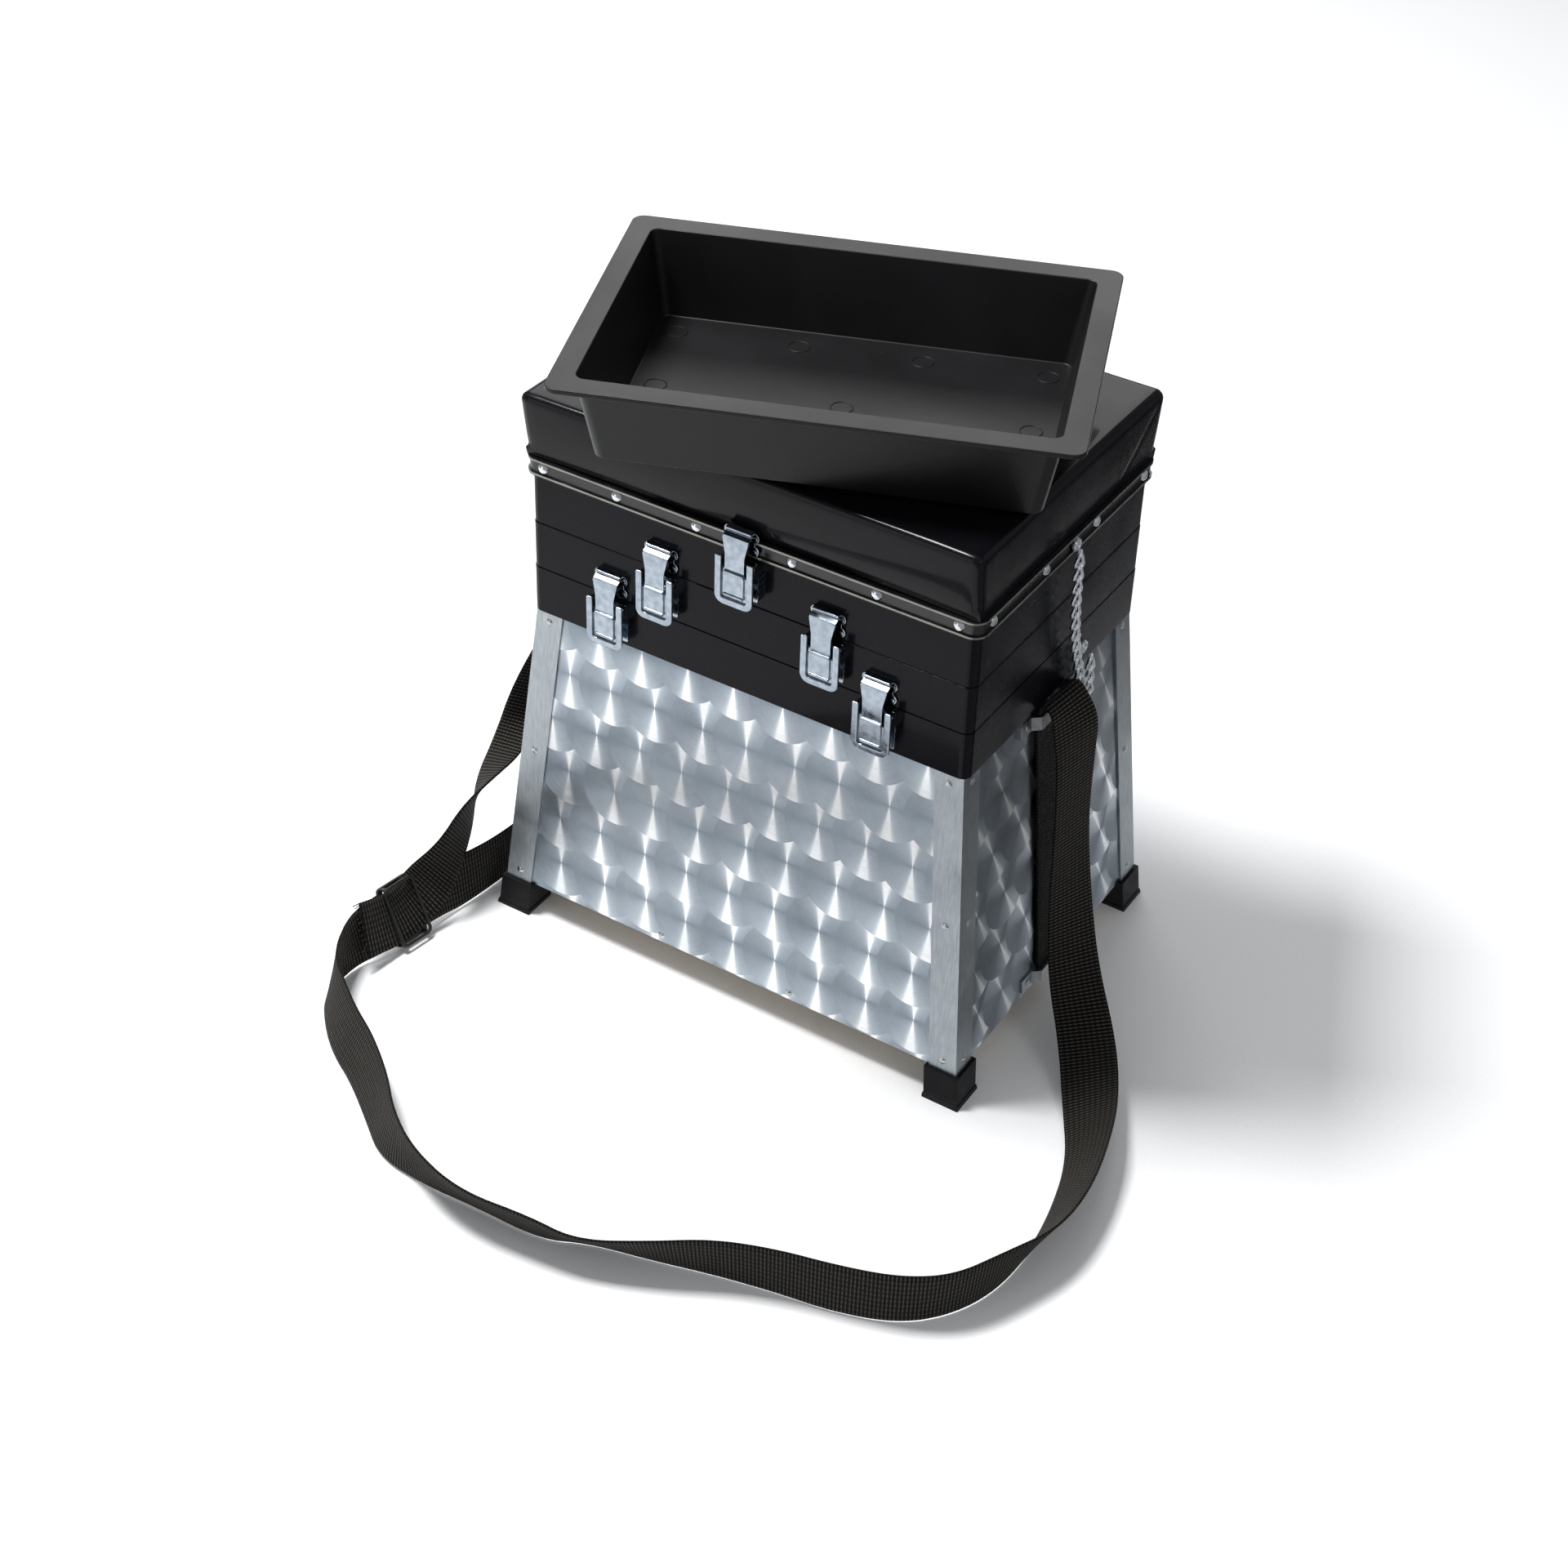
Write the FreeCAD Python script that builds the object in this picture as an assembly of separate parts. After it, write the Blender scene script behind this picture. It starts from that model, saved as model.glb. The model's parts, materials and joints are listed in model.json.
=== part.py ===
"""Fishing seat box: an engine-turned aluminium bin on four rubber feet, two hinged
tackle tiers and a padded lid above it, five toggle latches, a stay chain, a carrying
strap and a loose bait tray that stands on the seat.  Millimetres, front faces -Y."""
import FreeCAD
import Part
import math
import os
from FreeCAD import Vector

# bin: how far its top stands in under the case, and how far it flares out below
BIN_SET_IN_SIDE = 3.0
BIN_SET_IN_FRONT = 1.8
BIN_FLARE_SIDE = 25.35
BIN_FLARE_FRONT = 20.7
BIN_TOP_Z = 306.5
BIN_BOTTOM_Z = 31.0
SHEET = 1.2
ANGLE_LEG = 25.0
ANGLE_THICKNESS = 1.5
ANGLE_END_Z = 5.0
BOARD_THICKNESS = 12.0
BOARD_LIFT = 2.0
FIT = 0.3

# rivets
RIVET_SHANK_R = 1.6
RIVET_HEAD_R = 3.2
RIVET_HEAD_HEIGHT = 1.3
RIVET_GRIP = 3.0
ANGLE_RIVET_INSET = 13.0
ANGLE_RIVET_END_MARGIN = 9.5
BOTTOM_RIVET_X = 63.0
BOTTOM_RIVET_LIFT = 6.0

# feet
FOOT_WALL = 3.0
FOOT_SIDE = 31.0
FOOT_HEIGHT = 30.5
FOOT_LIP = 1.2
FOOT_LIP_HEIGHT = 4.0

# collar, tiers and lid
CASE_WIDTH = 400.0
CASE_DEPTH = 277.6
CASE_CORNER_R = 8.0
CASE_WALL = 3.0
TIER_FLOOR = 2.5
COLLAR_HEIGHT = 41.6
LOWER_TIER_HEIGHT = 42.0
UPPER_TIER_HEIGHT = 45.4
SEAM_GAP = 0.4
TIER_STEP = 0.3
SKIRT_DEPTH = 14.0
SKIRT_THICKNESS = 2.5
LEDGE_THICKNESS = 3.0
BAND_HEIGHT = 15.0
BAND_BASE = 2.0
BAND_BEAD = 1.6
BAND_BEAD_HEIGHT = 2.4
BAND_RIVET_R = 4.7
BAND_RIVET_HEIGHT = 2.6
BAND_RIVET_SHANK_R = 1.5
BAND_RIVET_GRIP = 9.0
BAND_RIVET_END = 15.5
BAND_RIVET_SIDE_END = 17.8
FRONT_RIVET_SHARES = (0.23, 0.626, 1.0)
SIDE_RIVET_SHARES = (0.335, 1.0)

# seat cushion: its top stands out past the case, a little at the sides, more in front
CUSHION_HEIGHT = 58.0
CUSHION_CROWN = 2.6
CUSHION_OUT_SIDE = 1.2
CUSHION_OUT_FRONT = 9.2
CUSHION_DRAWN_IN = 0.8
CUSHION_EDGE_R = 5.0

# hinges at the back, two butt hinges to each seam
HINGE_X = 79.0
HINGE_WIDTH = 44.0
HINGE_LEAF = 12.6
HINGE_LEAF_THICKNESS = 1.2
HINGE_KNUCKLE_R = 3.0
HINGE_PIN_R = 1.4
HINGE_KNUCKLES = 5
HINGE_PLAY = 0.3

# toggle latches: place across the front of each seam's latches
LID_LATCH_X = (0.0,)
UPPER_LATCH_X = (-75.0, 75.0)
LOWER_LATCH_X = (-122.0, 122.0)
KEEPER_WIDTH = 29.0
KEEPER_BOTTOM = 3.0
KEEPER_TOP = 24.0
KEEPER_LIP = 5.5
KEEPER_LIP_THICKNESS = 2.4
LATCH_PLATE = 1.2
BASE_WIDTH = 32.0
BASE_BOTTOM = 38.0
CHEEK_DEPTH = 10.0
CHEEK_BOTTOM = 16.0
PIVOT_OUT = 7.5
PIVOT_DOWN = 5.0
PIVOT_R = 1.5
LEVER_WIDTH = 34.0
LEVER_OUT = 10.2
LEVER_TOP = 2.5
LEVER_BOTTOM = 42.0
LEVER_CORNER_R = 8.0
LEVER_NOTCH = 24.6
LEVER_BAR_TOP = 13.5
LEVER_BAR = 1.8
WINDOW_WIDTH = 18.0
WINDOW_BOTTOM = 27.5
WINDOW_RIM = 1.2
LEVER_EAR_OUTER = 14.6
EAR_THICKNESS = 1.2
DRAW_PIN_OUT = 4.5
DRAW_PIN_DOWN = 13.0
DRAW_PIN_R = 1.1
DRAW_WIDTH = 23.0
DRAW_TOP = 20.5
DRAW_OUT = 2.4
DRAW_EYE_R = 2.1
PLAY = 0.15

# strap loops on the bin's sides
LOOP_Z = (42.0, 293.0)
LOOP_STAND_OFF = 7.0
LOOP_BAR_THICKNESS = 2.0
LOOP_BAR_HEIGHT = 12.0
LOOP_INSIDE = 62.0
LOOP_TAB = 17.0
LOOP_RIVET_INSET = 9.0

# stay chain on the right side
CHAIN_WIRE_R = 1.0
CHAIN_LINK_LENGTH = 11.4
CHAIN_LINK_WIDTH = 8.2
CHAIN_PITCH = 8.3
CHAIN_EYE_R = 5.0
CHAIN_STAND_OFF = 4.4
# the chain's line: how far back, and how high above the bin's top
CHAIN_ROUTE = [(3, 130.4), (4, 108.5), (6, 78.5), (11, 45.5), (20, 19.5), (30, -3.5), (36, -23.5),
               (41, -34.5), (47, -30.5), (47, -14.5), (44, 11.5)]

# loose tray standing on the seat
TRAY_CENTRE = (15.5, -31.5)
TRAY_TURN = 21.4
TRAY_RIM = (388.0, 282.0)
TRAY_TOP = (355.0, 246.0)
TRAY_BOTTOM = (331.0, 222.0)
TRAY_HEIGHT = 71.0
TRAY_WALL = 2.2
TRAY_RIM_THICKNESS = 2.2
TRAY_RIM_LIP = 4.0
TRAY_CORNER_R = 10.0
TRAY_REST_GAP = 0.2

# carrying strap
STRAP_WIDTH = 48.0
STRAP_THICKNESS = 2.0
STRAP_STEPS = 3
BUCKLE_LENGTH = 34.0
BUCKLE_WIDTH = 56.0
BUCKLE_THICKNESS = 3.4
BUCKLE_SLOT = 8.5
BUCKLE_RIM = 4.0
FLOOR = None

# strap routes: place of the strap's middle, which way its width points, and the share
# of its width left where it bunches up; FLOOR puts its lower edge on the ground
CARRY_ROUTE = [
    (223.2, 0, 33, 0, 1, 0), (218.2, 0, 88, 0, 1, 0), (210.6, 0, 170, 0, 1, 0),
    (203.2, 0, 250, 0, 1, 0), (200.4, -1, 281, 0, 1, 0), (200.6, -2, 303, 0, 1, 0),
    (208, -3, 311, 0, 1, 0), (217, -4, 303, 0.12, 1, 0), (225, -5, 284, 0.34, 0.93, 0),
    (228, -6, 258, 0.2, 1, 0), (232, -10, 190, 0.12, 1, 0), (241, -17, 125, 0.3, 0.95, 0),
    (257, -30, 66, 0.5, 0.87, 0), (288, -56, 24, 0.62, 0.76, 0.1),
    (317, -103, FLOOR, 0.58, 0.66, 0.35), (343, -158, FLOOR, 0.5, 0.44, 0.7),
    (357, -214, FLOOR, 0.55, 0.2, 0.75), (360, -266, FLOOR, 0.45, -0.1, 0.85),
    (348, -314, FLOOR, 0, -0.35, 0.92), (330, -352, FLOOR, 0, -0.15, 0.98),
    (300, -378, FLOOR, 0, 0.02, 1), (256, -394, FLOOR, 0, 0.04, 1),
    (209, -404, FLOOR, 0, -0.04, 1), (164, -418, FLOOR, 0, -0.2, 0.98),
    (122, -437, FLOOR, 0, -0.48, 0.88), (72, -455, FLOOR, 0, -0.7, 0.72),
    (37, -466.5, FLOOR, -0.05, -0.42, 0.91), (-22, -470, FLOOR, -0.02, -0.52, 0.86),
    (-72.5, -466.5, FLOOR, 0.2, -0.25, 0.95), (-115.5, -452.5, FLOOR, 0.37, 0.11, 0.92),
    (-147.5, -425, FLOOR, 0.31, 0.28, 0.91), (-185.5, -397.5, FLOOR, 0.32, 0.32, 0.89),
    (-216.5, -381, FLOOR, 0.33, 0.33, 0.88), (-242, -362, FLOOR, 0.39, 0.19, 0.9),
    (-268, -338.5, FLOOR, 0.22, 0.09, 0.97), (-278, -300, FLOOR, -0.1, 0.05, 1)]
SIDE_ROUTE = [
    (-254, -186, FLOOR, 0.2, 0, -0.95), (-246, -150, FLOOR, 0.05, 0, -1), (-243, -112, FLOOR, 0, 0, -1),
    (-240, -76, FLOOR, 0, 0, -1), (-233, -44, 24, 0, 0.2, -0.95, 0.9),
    (-225, -14, 13, 0, 0.7, -0.7, 0.5), (-224, 0, 30, 0, 1, 0), (-222.2, 0, 48, 0, 1, 0),
    (-217.4, 0, 98, 0, 1, 0),
    (-210.6, 0, 170, 0, 1, 0), (-203.2, 0, 250, 0, 1, 0), (-200.4, 0, 281, 0, 1, 0),
    (-200.6, -1, 303, 0, 1, 0), (-209, -2, 311, 0, 1, 0), (-222, -6, 292, 0, 1, 0),
    (-237.5, -18.5, 243.5, 0, 1, 0), (-255, -43, 195, 0.14, 0.98, 0.1),
    (-261, -71.5, 150.5, 0.17, 0.94, 0.29),
    (-260, -100.5, 118, 0.23, 0.7, 0.68), (-262, -134, 100.5, 0.4, 0.5, 0.76),
    (-259, -161.5, 82.5, 0.04, 0.39, 0.92), (-255, -191.5, 62.5, 0.01, 0.22, 0.98),
    (-259, -216, 43.5, -0.44, 0.12, 0.89), (-264.6, -244.6, 29.5, -0.42, 0, 0.9),
    (-266.5, -268, 29.5, -0.42, 0, 0.9), (-269, -289, 29.5, -0.42, 0, 0.9)]
BUCKLE_AT = (-268.6, -244, 27.6)
BUCKLE_WAY = (-0.15, -0.98, 0)
BUCKLE_UP = (-0.42, 0, 0.9)

# worked out from the sizes above
BIN_TOP_WIDTH = CASE_WIDTH - 2 * BIN_SET_IN_SIDE
BIN_TOP_DEPTH = CASE_DEPTH - 2 * BIN_SET_IN_FRONT
BIN_BOTTOM_WIDTH = BIN_TOP_WIDTH + 2 * BIN_FLARE_SIDE
BIN_BOTTOM_DEPTH = BIN_TOP_DEPTH + 2 * BIN_FLARE_FRONT
LOWER_SEAM_Z = BIN_TOP_Z + COLLAR_HEIGHT
UPPER_SEAM_Z = LOWER_SEAM_Z + LOWER_TIER_HEIGHT
LID_SEAM_Z = UPPER_SEAM_Z + UPPER_TIER_HEIGHT
SEAT_BASE_Z = LID_SEAM_Z + BAND_HEIGHT
SEAT_TOP_Z = SEAT_BASE_Z + CUSHION_HEIGHT + CUSHION_CROWN
BAND_OUT = BAND_BASE + BAND_BEAD
TRAY_Z = SEAT_TOP_Z + TRAY_REST_GAP
CHAIN_X = CASE_WIDTH / 2 + BAND_OUT + CHAIN_STAND_OFF
TIER_HINGE_Y = CASE_DEPTH / 2 + HINGE_KNUCKLE_R + HINGE_PLAY
LID_HINGE_Y = TIER_HINGE_Y + BAND_OUT


def bin_half(z):
    """Half width and half depth over the corner angles at height z."""
    share = (BIN_TOP_Z - z) / (BIN_TOP_Z - BIN_BOTTOM_Z)
    half_x = (BIN_TOP_WIDTH + share * (BIN_BOTTOM_WIDTH - BIN_TOP_WIDTH)) / 2
    half_y = (BIN_TOP_DEPTH + share * (BIN_BOTTOM_DEPTH - BIN_TOP_DEPTH)) / 2
    return half_x, half_y


def tray_reach():
    """How far the turned tray reaches from its centre along X and along Y."""
    half_l, half_w = TRAY_RIM[0] / 2 - TRAY_CORNER_R, TRAY_RIM[1] / 2 - TRAY_CORNER_R
    c, s = math.cos(math.radians(TRAY_TURN)), math.sin(math.radians(TRAY_TURN))
    return (half_l * c + half_w * s + TRAY_CORNER_R, half_l * s + half_w * c + TRAY_CORNER_R)


def case_offset():
    """From the middle of the case to the middle of the whole object, strap left out."""
    reach_x, reach_y = tray_reach()
    loop_x = bin_half(LOOP_Z[0] - LOOP_BAR_HEIGHT / 2)[0] - ANGLE_THICKNESS
    foot_x, foot_y = (half + FOOT_WALL + FOOT_LIP for half in bin_half(0))
    right = max(TRAY_CENTRE[0] + reach_x, foot_x, loop_x + LOOP_STAND_OFF + LOOP_BAR_THICKNESS)
    left = max(reach_x - TRAY_CENTRE[0], foot_x, loop_x + LOOP_STAND_OFF + LOOP_BAR_THICKNESS)
    back = max(TRAY_CENTRE[1] + reach_y, foot_y)
    front = max(reach_y - TRAY_CENTRE[1], foot_y)
    return Vector((right - left) / 2, (back - front) / 2, 0)


PARTS = {}


def keep(name, *shapes):
    """Puts shapes under a name; several shapes stay separate solids."""
    PARTS[name] = shapes[0] if len(shapes) == 1 else Part.makeCompound(list(shapes))


def fuse(first, *others):
    return first.fuse(list(others)).removeSplitter()


def wire(points):
    return Part.makePolygon([Vector(*p) for p in points] + [Vector(*points[0])])


def loft(wires):
    return Part.makeLoft(wires, True, True)


def frustum(low, high):
    """A solid with flat faces between two outlines that match point for point."""
    faces = [Part.Face(wire(low)), Part.Face(wire(high))]
    count = len(low)
    for i in range(count):
        j = (i + 1) % count
        faces.append(Part.Face(wire([low[i], low[j], high[j], high[i]])))
    solid = Part.Solid(Part.Shell(faces))
    return solid if solid.Volume > 0 else solid.reversed()


def prism(points, way):
    """A flat outline, given as points, drawn out along way."""
    return Part.Face(wire(points)).extrude(Vector(*way))


def block(x0, x1, y0, y1, z0, z1):
    return Part.makeBox(x1 - x0, y1 - y0, z1 - z0, Vector(x0, y0, z0))


def round_rect(half_x, half_y, z, r):
    """A rectangle with round corners, as a wire at height z."""
    edges = []
    corners = [(1, 1, 0), (-1, 1, 90), (-1, -1, 180), (1, -1, 270)]
    arcs = []
    for sx, sy, turn in corners:
        centre = Vector(sx * (half_x - r), sy * (half_y - r), z)
        arcs.append([centre + Vector(r * math.cos(math.radians(turn + a)),
                                     r * math.sin(math.radians(turn + a)), 0) for a in (0, 45, 90)])
    for i, arc in enumerate(arcs):
        edges.append(Part.Arc(*arc).toShape())
        edges.append(Part.LineSegment(arc[2], arcs[(i + 1) % 4][0]).toShape())
    return Part.Wire(edges)


def round_box(half_x, half_y, z0, z1, r):
    return Part.Face(round_rect(half_x, half_y, z0, r)).extrude(Vector(0, 0, z1 - z0))


def ring(half_x, half_y, wall, z0, z1, r):
    """A rectangular ring with round corners and a wall of one thickness."""
    return round_box(half_x, half_y, z0, z1, r).cut(
        round_box(half_x - wall, half_y - wall, z0 - 1, z1 + 1, max(r - wall, 0.5)))


def rivet(at, out, head_r=RIVET_HEAD_R, height=RIVET_HEAD_HEIGHT, shank_r=RIVET_SHANK_R,
          grip=RIVET_GRIP):
    """A domed rivet whose head sits at a point and whose shank runs inwards from it."""
    out = Vector(*out).normalize()
    at = Vector(*at)
    ball_r = (head_r ** 2 + height ** 2) / (2 * height)
    ball = Part.makeSphere(ball_r, at + out * (height - ball_r))
    head = ball.common(Part.makeCylinder(head_r + 1, height + 1, at, out))
    return head.fuse(Part.makeCylinder(shank_r, grip, at - out * grip, out)).removeSplitter()


def rivet_hole(at, out, shank_r=RIVET_SHANK_R, depth=6.0):
    out = Vector(*out).normalize()
    return Part.makeCylinder(shank_r + 0.1, 2 * depth, Vector(*at) - out * depth, out)


def side_normal():
    half_top, half_bottom = bin_half(BIN_TOP_Z)[0], bin_half(BIN_BOTTOM_Z)[0]
    return (BIN_TOP_Z - BIN_BOTTOM_Z, 0, half_bottom - half_top)


def front_normal():
    half_top, half_bottom = bin_half(BIN_TOP_Z)[1], bin_half(BIN_BOTTOM_Z)[1]
    return (0, -(BIN_TOP_Z - BIN_BOTTOM_Z), half_bottom - half_top)


def mirrored(vector, sx, sy):
    return (vector[0] * sx, vector[1] * sy, vector[2])


def bin_section(z, inset, t, side):
    """Outline of one panel at height z: outer face inset from the angles, t thick."""
    x, y = (half - inset for half in bin_half(z))
    if side == "front":
        return [(-x, -y, z), (x, -y, z), (x - t, -y + t, z), (-x + t, -y + t, z)]
    return [(x, -y, z), (x, y, z), (x - t, y - t, z), (x - t, -y + t, z)]


def angle_section(z, sx, sy):
    x, y = bin_half(z)
    leg, t = ANGLE_LEG, ANGLE_THICKNESS
    outline = [(x, y), (x - leg, y), (x - leg, y - t), (x - t, y - t), (x - t, y - leg), (x, y - leg)]
    return [(sx * px, sy * py, z) for px, py in outline]


def angle_rivet_heights():
    top = BIN_TOP_Z - ANGLE_RIVET_END_MARGIN
    bottom = BIN_BOTTOM_Z + ANGLE_RIVET_END_MARGIN
    return (bottom, (bottom + top) / 2, top)


def bin_rivets():
    """Place and outward way of every rivet that holds the bin together."""
    places = []
    for sx in (-1, 1):
        for sy in (-1, 1):
            for z in angle_rivet_heights():
                x, y = bin_half(z)
                places.append(((sx * (x - ANGLE_RIVET_INSET), sy * y, z),
                               mirrored(front_normal(), 1, -sy)))
                places.append(((sx * x, sy * (y - ANGLE_RIVET_INSET), z),
                               mirrored(side_normal(), sx, 1)))
    z = BIN_BOTTOM_Z + BOTTOM_RIVET_LIFT
    for sx in (-1, 1):
        for sy in (-1, 1):
            places.append(((sx * BOTTOM_RIVET_X, sy * (bin_half(z)[1] - ANGLE_THICKNESS), z),
                           mirrored(front_normal(), 1, -sy)))
    return places


def loop_rivets():
    places = []
    reach = LOOP_INSIDE / 2 + LOOP_TAB - LOOP_RIVET_INSET
    for sx in (-1, 1):
        for z in LOOP_Z:
            for y in (-reach, reach):
                x = bin_half(z)[0] - ANGLE_THICKNESS
                places.append(((sx * x, y, z), mirrored(side_normal(), sx, 1)))
    return places


def make_bin():
    holes = [rivet_hole(at, out) for at, out in bin_rivets() + loop_rivets()]
    front, right = (frustum(*[bin_section(z, ANGLE_THICKNESS, SHEET, side)
                              for z in (BIN_BOTTOM_Z, BIN_TOP_Z)]) for side in ("front", "side"))
    centre = Vector(0, 0, 0)
    panels = {"front_panel": front, "back_panel": front.mirror(centre, Vector(0, 1, 0)),
              "right_panel": right, "left_panel": right.mirror(centre, Vector(1, 0, 0))}
    for name, panel in panels.items():
        keep(name, panel.cut(holes))
    board_z = BIN_BOTTOM_Z + BOARD_LIFT
    sections = []
    for z in (board_z, board_z + BOARD_THICKNESS):
        x, y = (half - ANGLE_THICKNESS - SHEET - 0.05 for half in bin_half(z))
        sections.append([(-x, -y, z), (x, -y, z), (x, y, z), (-x, y, z)])
    keep("base_board", frustum(*sections).cut(holes))
    for sx, side in ((-1, "left"), (1, "right")):
        for sy, end in ((-1, "front"), (1, "back")):
            angle = frustum(*[angle_section(z, sx, sy) for z in (ANGLE_END_Z, BIN_TOP_Z)])
            keep("corner_angle_%s_%s" % (end, side), angle.cut(holes))
            keep("foot_%s_%s" % (end, side), foot(sx, sy).cut(angle))
    keep("bin_rivets", *[rivet(at, out) for at, out in bin_rivets()])


def foot(sx, sy):
    """A rubber foot with its flared lip, solid before the angle's pocket is cut."""
    def section(z, grow):
        x, y = (half + FOOT_WALL + grow for half in bin_half(z))
        side = FOOT_SIDE + 2 * grow
        return [(sx * a, sy * b, z) for a, b in
                ((x, y), (x - side, y), (x - side, y - side), (x, y - side))]
    lip = frustum(section(0, FOOT_LIP), section(FOOT_LIP_HEIGHT, FOOT_LIP * 0.6))
    body = frustum(section(0, 0), section(FOOT_HEIGHT, 0))
    return fuse(lip, body)


def make_strap_loops():
    holes = [rivet_hole(at, out) for at, out in loop_rivets()]
    out_way = Vector(*side_normal()).normalize()
    for sx, side in ((-1, "left"), (1, "right")):
        for z, level in zip(LOOP_Z, ("bottom", "top")):
            base = Vector(bin_half(z)[0] - ANGLE_THICKNESS, 0, z)
            inner, outer = LOOP_INSIDE / 2, LOOP_INSIDE / 2 + LOOP_TAB
            rise, t = LOOP_STAND_OFF, LOOP_BAR_THICKNESS
            outline = [(0, -outer), (0, -inner), (rise, -inner + 5), (rise, inner - 5), (0, inner),
                       (0, outer), (t, outer), (t, inner + 1.2), (rise + t, inner - 4),
                       (rise + t, -inner + 4), (t, -inner - 1.2), (t, -outer)]
            up = Vector(-out_way.z, 0, out_way.x)
            low = base - up * (LOOP_BAR_HEIGHT / 2)
            points = [low + out_way * a + Vector(0, b, 0) for a, b in outline]
            bar = Part.Face(Part.makePolygon(points + points[:1])).extrude(up * LOOP_BAR_HEIGHT)
            if sx < 0:
                bar = bar.mirror(Vector(0, 0, 0), Vector(1, 0, 0))
            keep("strap_loop_%s_%s" % (side, level), bar.cut(holes))
    lift = LOOP_BAR_THICKNESS
    rivets = []
    for at, out in loop_rivets():
        way = Vector(*out).normalize()
        rivets.append(rivet(Vector(*at) + way * lift, way, grip=RIVET_GRIP + lift))
    keep("strap_loop_rivets", *rivets)


def make_collar():
    half_x, half_y = CASE_WIDTH / 2, CASE_DEPTH / 2
    top = LOWER_SEAM_Z - SEAM_GAP
    skirt_x, skirt_y = (half - ANGLE_THICKNESS - SHEET - FIT for half in bin_half(BIN_TOP_Z))
    wall = ring(half_x, half_y, CASE_WALL, BIN_TOP_Z, top, CASE_CORNER_R)
    ledge = ring(half_x, half_y, half_x - skirt_x + SKIRT_THICKNESS, BIN_TOP_Z,
                 BIN_TOP_Z + LEDGE_THICKNESS, CASE_CORNER_R)
    skirt = ring(skirt_x, skirt_y, SKIRT_THICKNESS, BIN_TOP_Z - SKIRT_DEPTH, BIN_TOP_Z + 1, 2.0)
    holes = [rivet_hole(at, out) for at, out in bin_rivets() + loop_rivets()]
    keep("collar", fuse(wall, ledge, skirt).cut(holes))


def tier(z0, height, step):
    half_x, half_y = CASE_WIDTH / 2 - step, CASE_DEPTH / 2 - step
    outer = round_box(half_x, half_y, z0, z0 + height - SEAM_GAP, CASE_CORNER_R)
    room = round_box(half_x - CASE_WALL, half_y - CASE_WALL, z0 + TIER_FLOOR, z0 + height + 1,
                     CASE_CORNER_R - CASE_WALL)
    return outer.cut(room)


def band_rivets():
    """Places and outward ways of the domed nails that hold the trim band."""
    half_x, half_y = CASE_WIDTH / 2 + BAND_BASE, CASE_DEPTH / 2 + BAND_BASE
    z = LID_SEAM_Z + BAND_HEIGHT / 2
    places = []
    front_xs = [share * (CASE_WIDTH / 2 - BAND_RIVET_END) for share in FRONT_RIVET_SHARES]
    side_ys = [share * (CASE_DEPTH / 2 - BAND_RIVET_SIDE_END) for share in SIDE_RIVET_SHARES]
    for sign in (-1, 1):
        for x in front_xs:
            places += [((sign * x, -half_y, z), (0, -1, 0)), ((sign * x, half_y, z), (0, 1, 0))]
        for y in side_ys:
            places += [((half_x, sign * y, z), (1, 0, 0)), ((-half_x, sign * y, z), (-1, 0, 0))]
    return places


def make_lid():
    half_x, half_y = CASE_WIDTH / 2, CASE_DEPTH / 2
    z0, z1 = LID_SEAM_Z, LID_SEAM_Z + BAND_HEIGHT
    holes = [rivet_hole(at, out, BAND_RIVET_SHANK_R, BAND_RIVET_GRIP + 0.2) for at, out in band_rivets()]
    board = round_box(half_x, half_y, z0, z1, CASE_CORNER_R)
    keep("lid_board", board.cut(holes))
    band = ring(half_x + BAND_BASE, half_y + BAND_BASE, BAND_BASE, z0, z1, CASE_CORNER_R + BAND_BASE)
    beads = [ring(half_x + BAND_OUT, half_y + BAND_OUT, BAND_OUT, z, z + BAND_BEAD_HEIGHT,
                  CASE_CORNER_R + BAND_OUT) for z in (z0, z1 - BAND_BEAD_HEIGHT)]
    keep("trim_band", fuse(band, *beads).cut(holes))
    keep("trim_band_rivets", *[rivet(at, out, BAND_RIVET_R, BAND_RIVET_HEIGHT, BAND_RIVET_SHANK_R,
                                     BAND_RIVET_GRIP) for at, out in band_rivets()])
    keep("seat_cushion", cushion(half_x, half_y, z1))


def cushion(half_x, half_y, z0):
    """A padded seat: sides drawn in above the band, round top edge, crowned top."""
    top_x, top_y = half_x + CUSHION_OUT_SIDE, half_y + CUSHION_OUT_FRONT
    low_x, low_y = half_x - CUSHION_DRAWN_IN, half_y - CUSHION_DRAWN_IN
    mid_x, mid_y = (low_x + top_x) / 2 + CUSHION_DRAWN_IN, (low_y + top_y) / 2 + CUSHION_DRAWN_IN
    r = CUSHION_EDGE_R
    edge_z = z0 + CUSHION_HEIGHT
    rows = [(z0, low_x, low_y), (z0 + CUSHION_HEIGHT / 2, mid_x, mid_y), (edge_z - r, top_x, top_y)]
    for turn in (30, 60, 90):
        back = r * (1 - math.cos(math.radians(turn)))
        rows.append((edge_z - r + r * math.sin(math.radians(turn)), top_x - back, top_y - back))
    for share in (0.82, 0.55, 0.25):
        rise = CUSHION_CROWN * (1 - share ** 2)
        rows.append((edge_z + rise, (top_x - r) * share, (top_y - r) * share))
    body = loft([round_rect(x, y, z, CASE_CORNER_R + 1) for z, x, y in rows])
    cap = loft([round_rect(rows[-1][1], rows[-1][2], rows[-1][0], CASE_CORNER_R + 1),
                round_rect(20, 15, edge_z + CUSHION_CROWN, CASE_CORNER_R + 1)])
    return fuse(body, cap)


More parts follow.
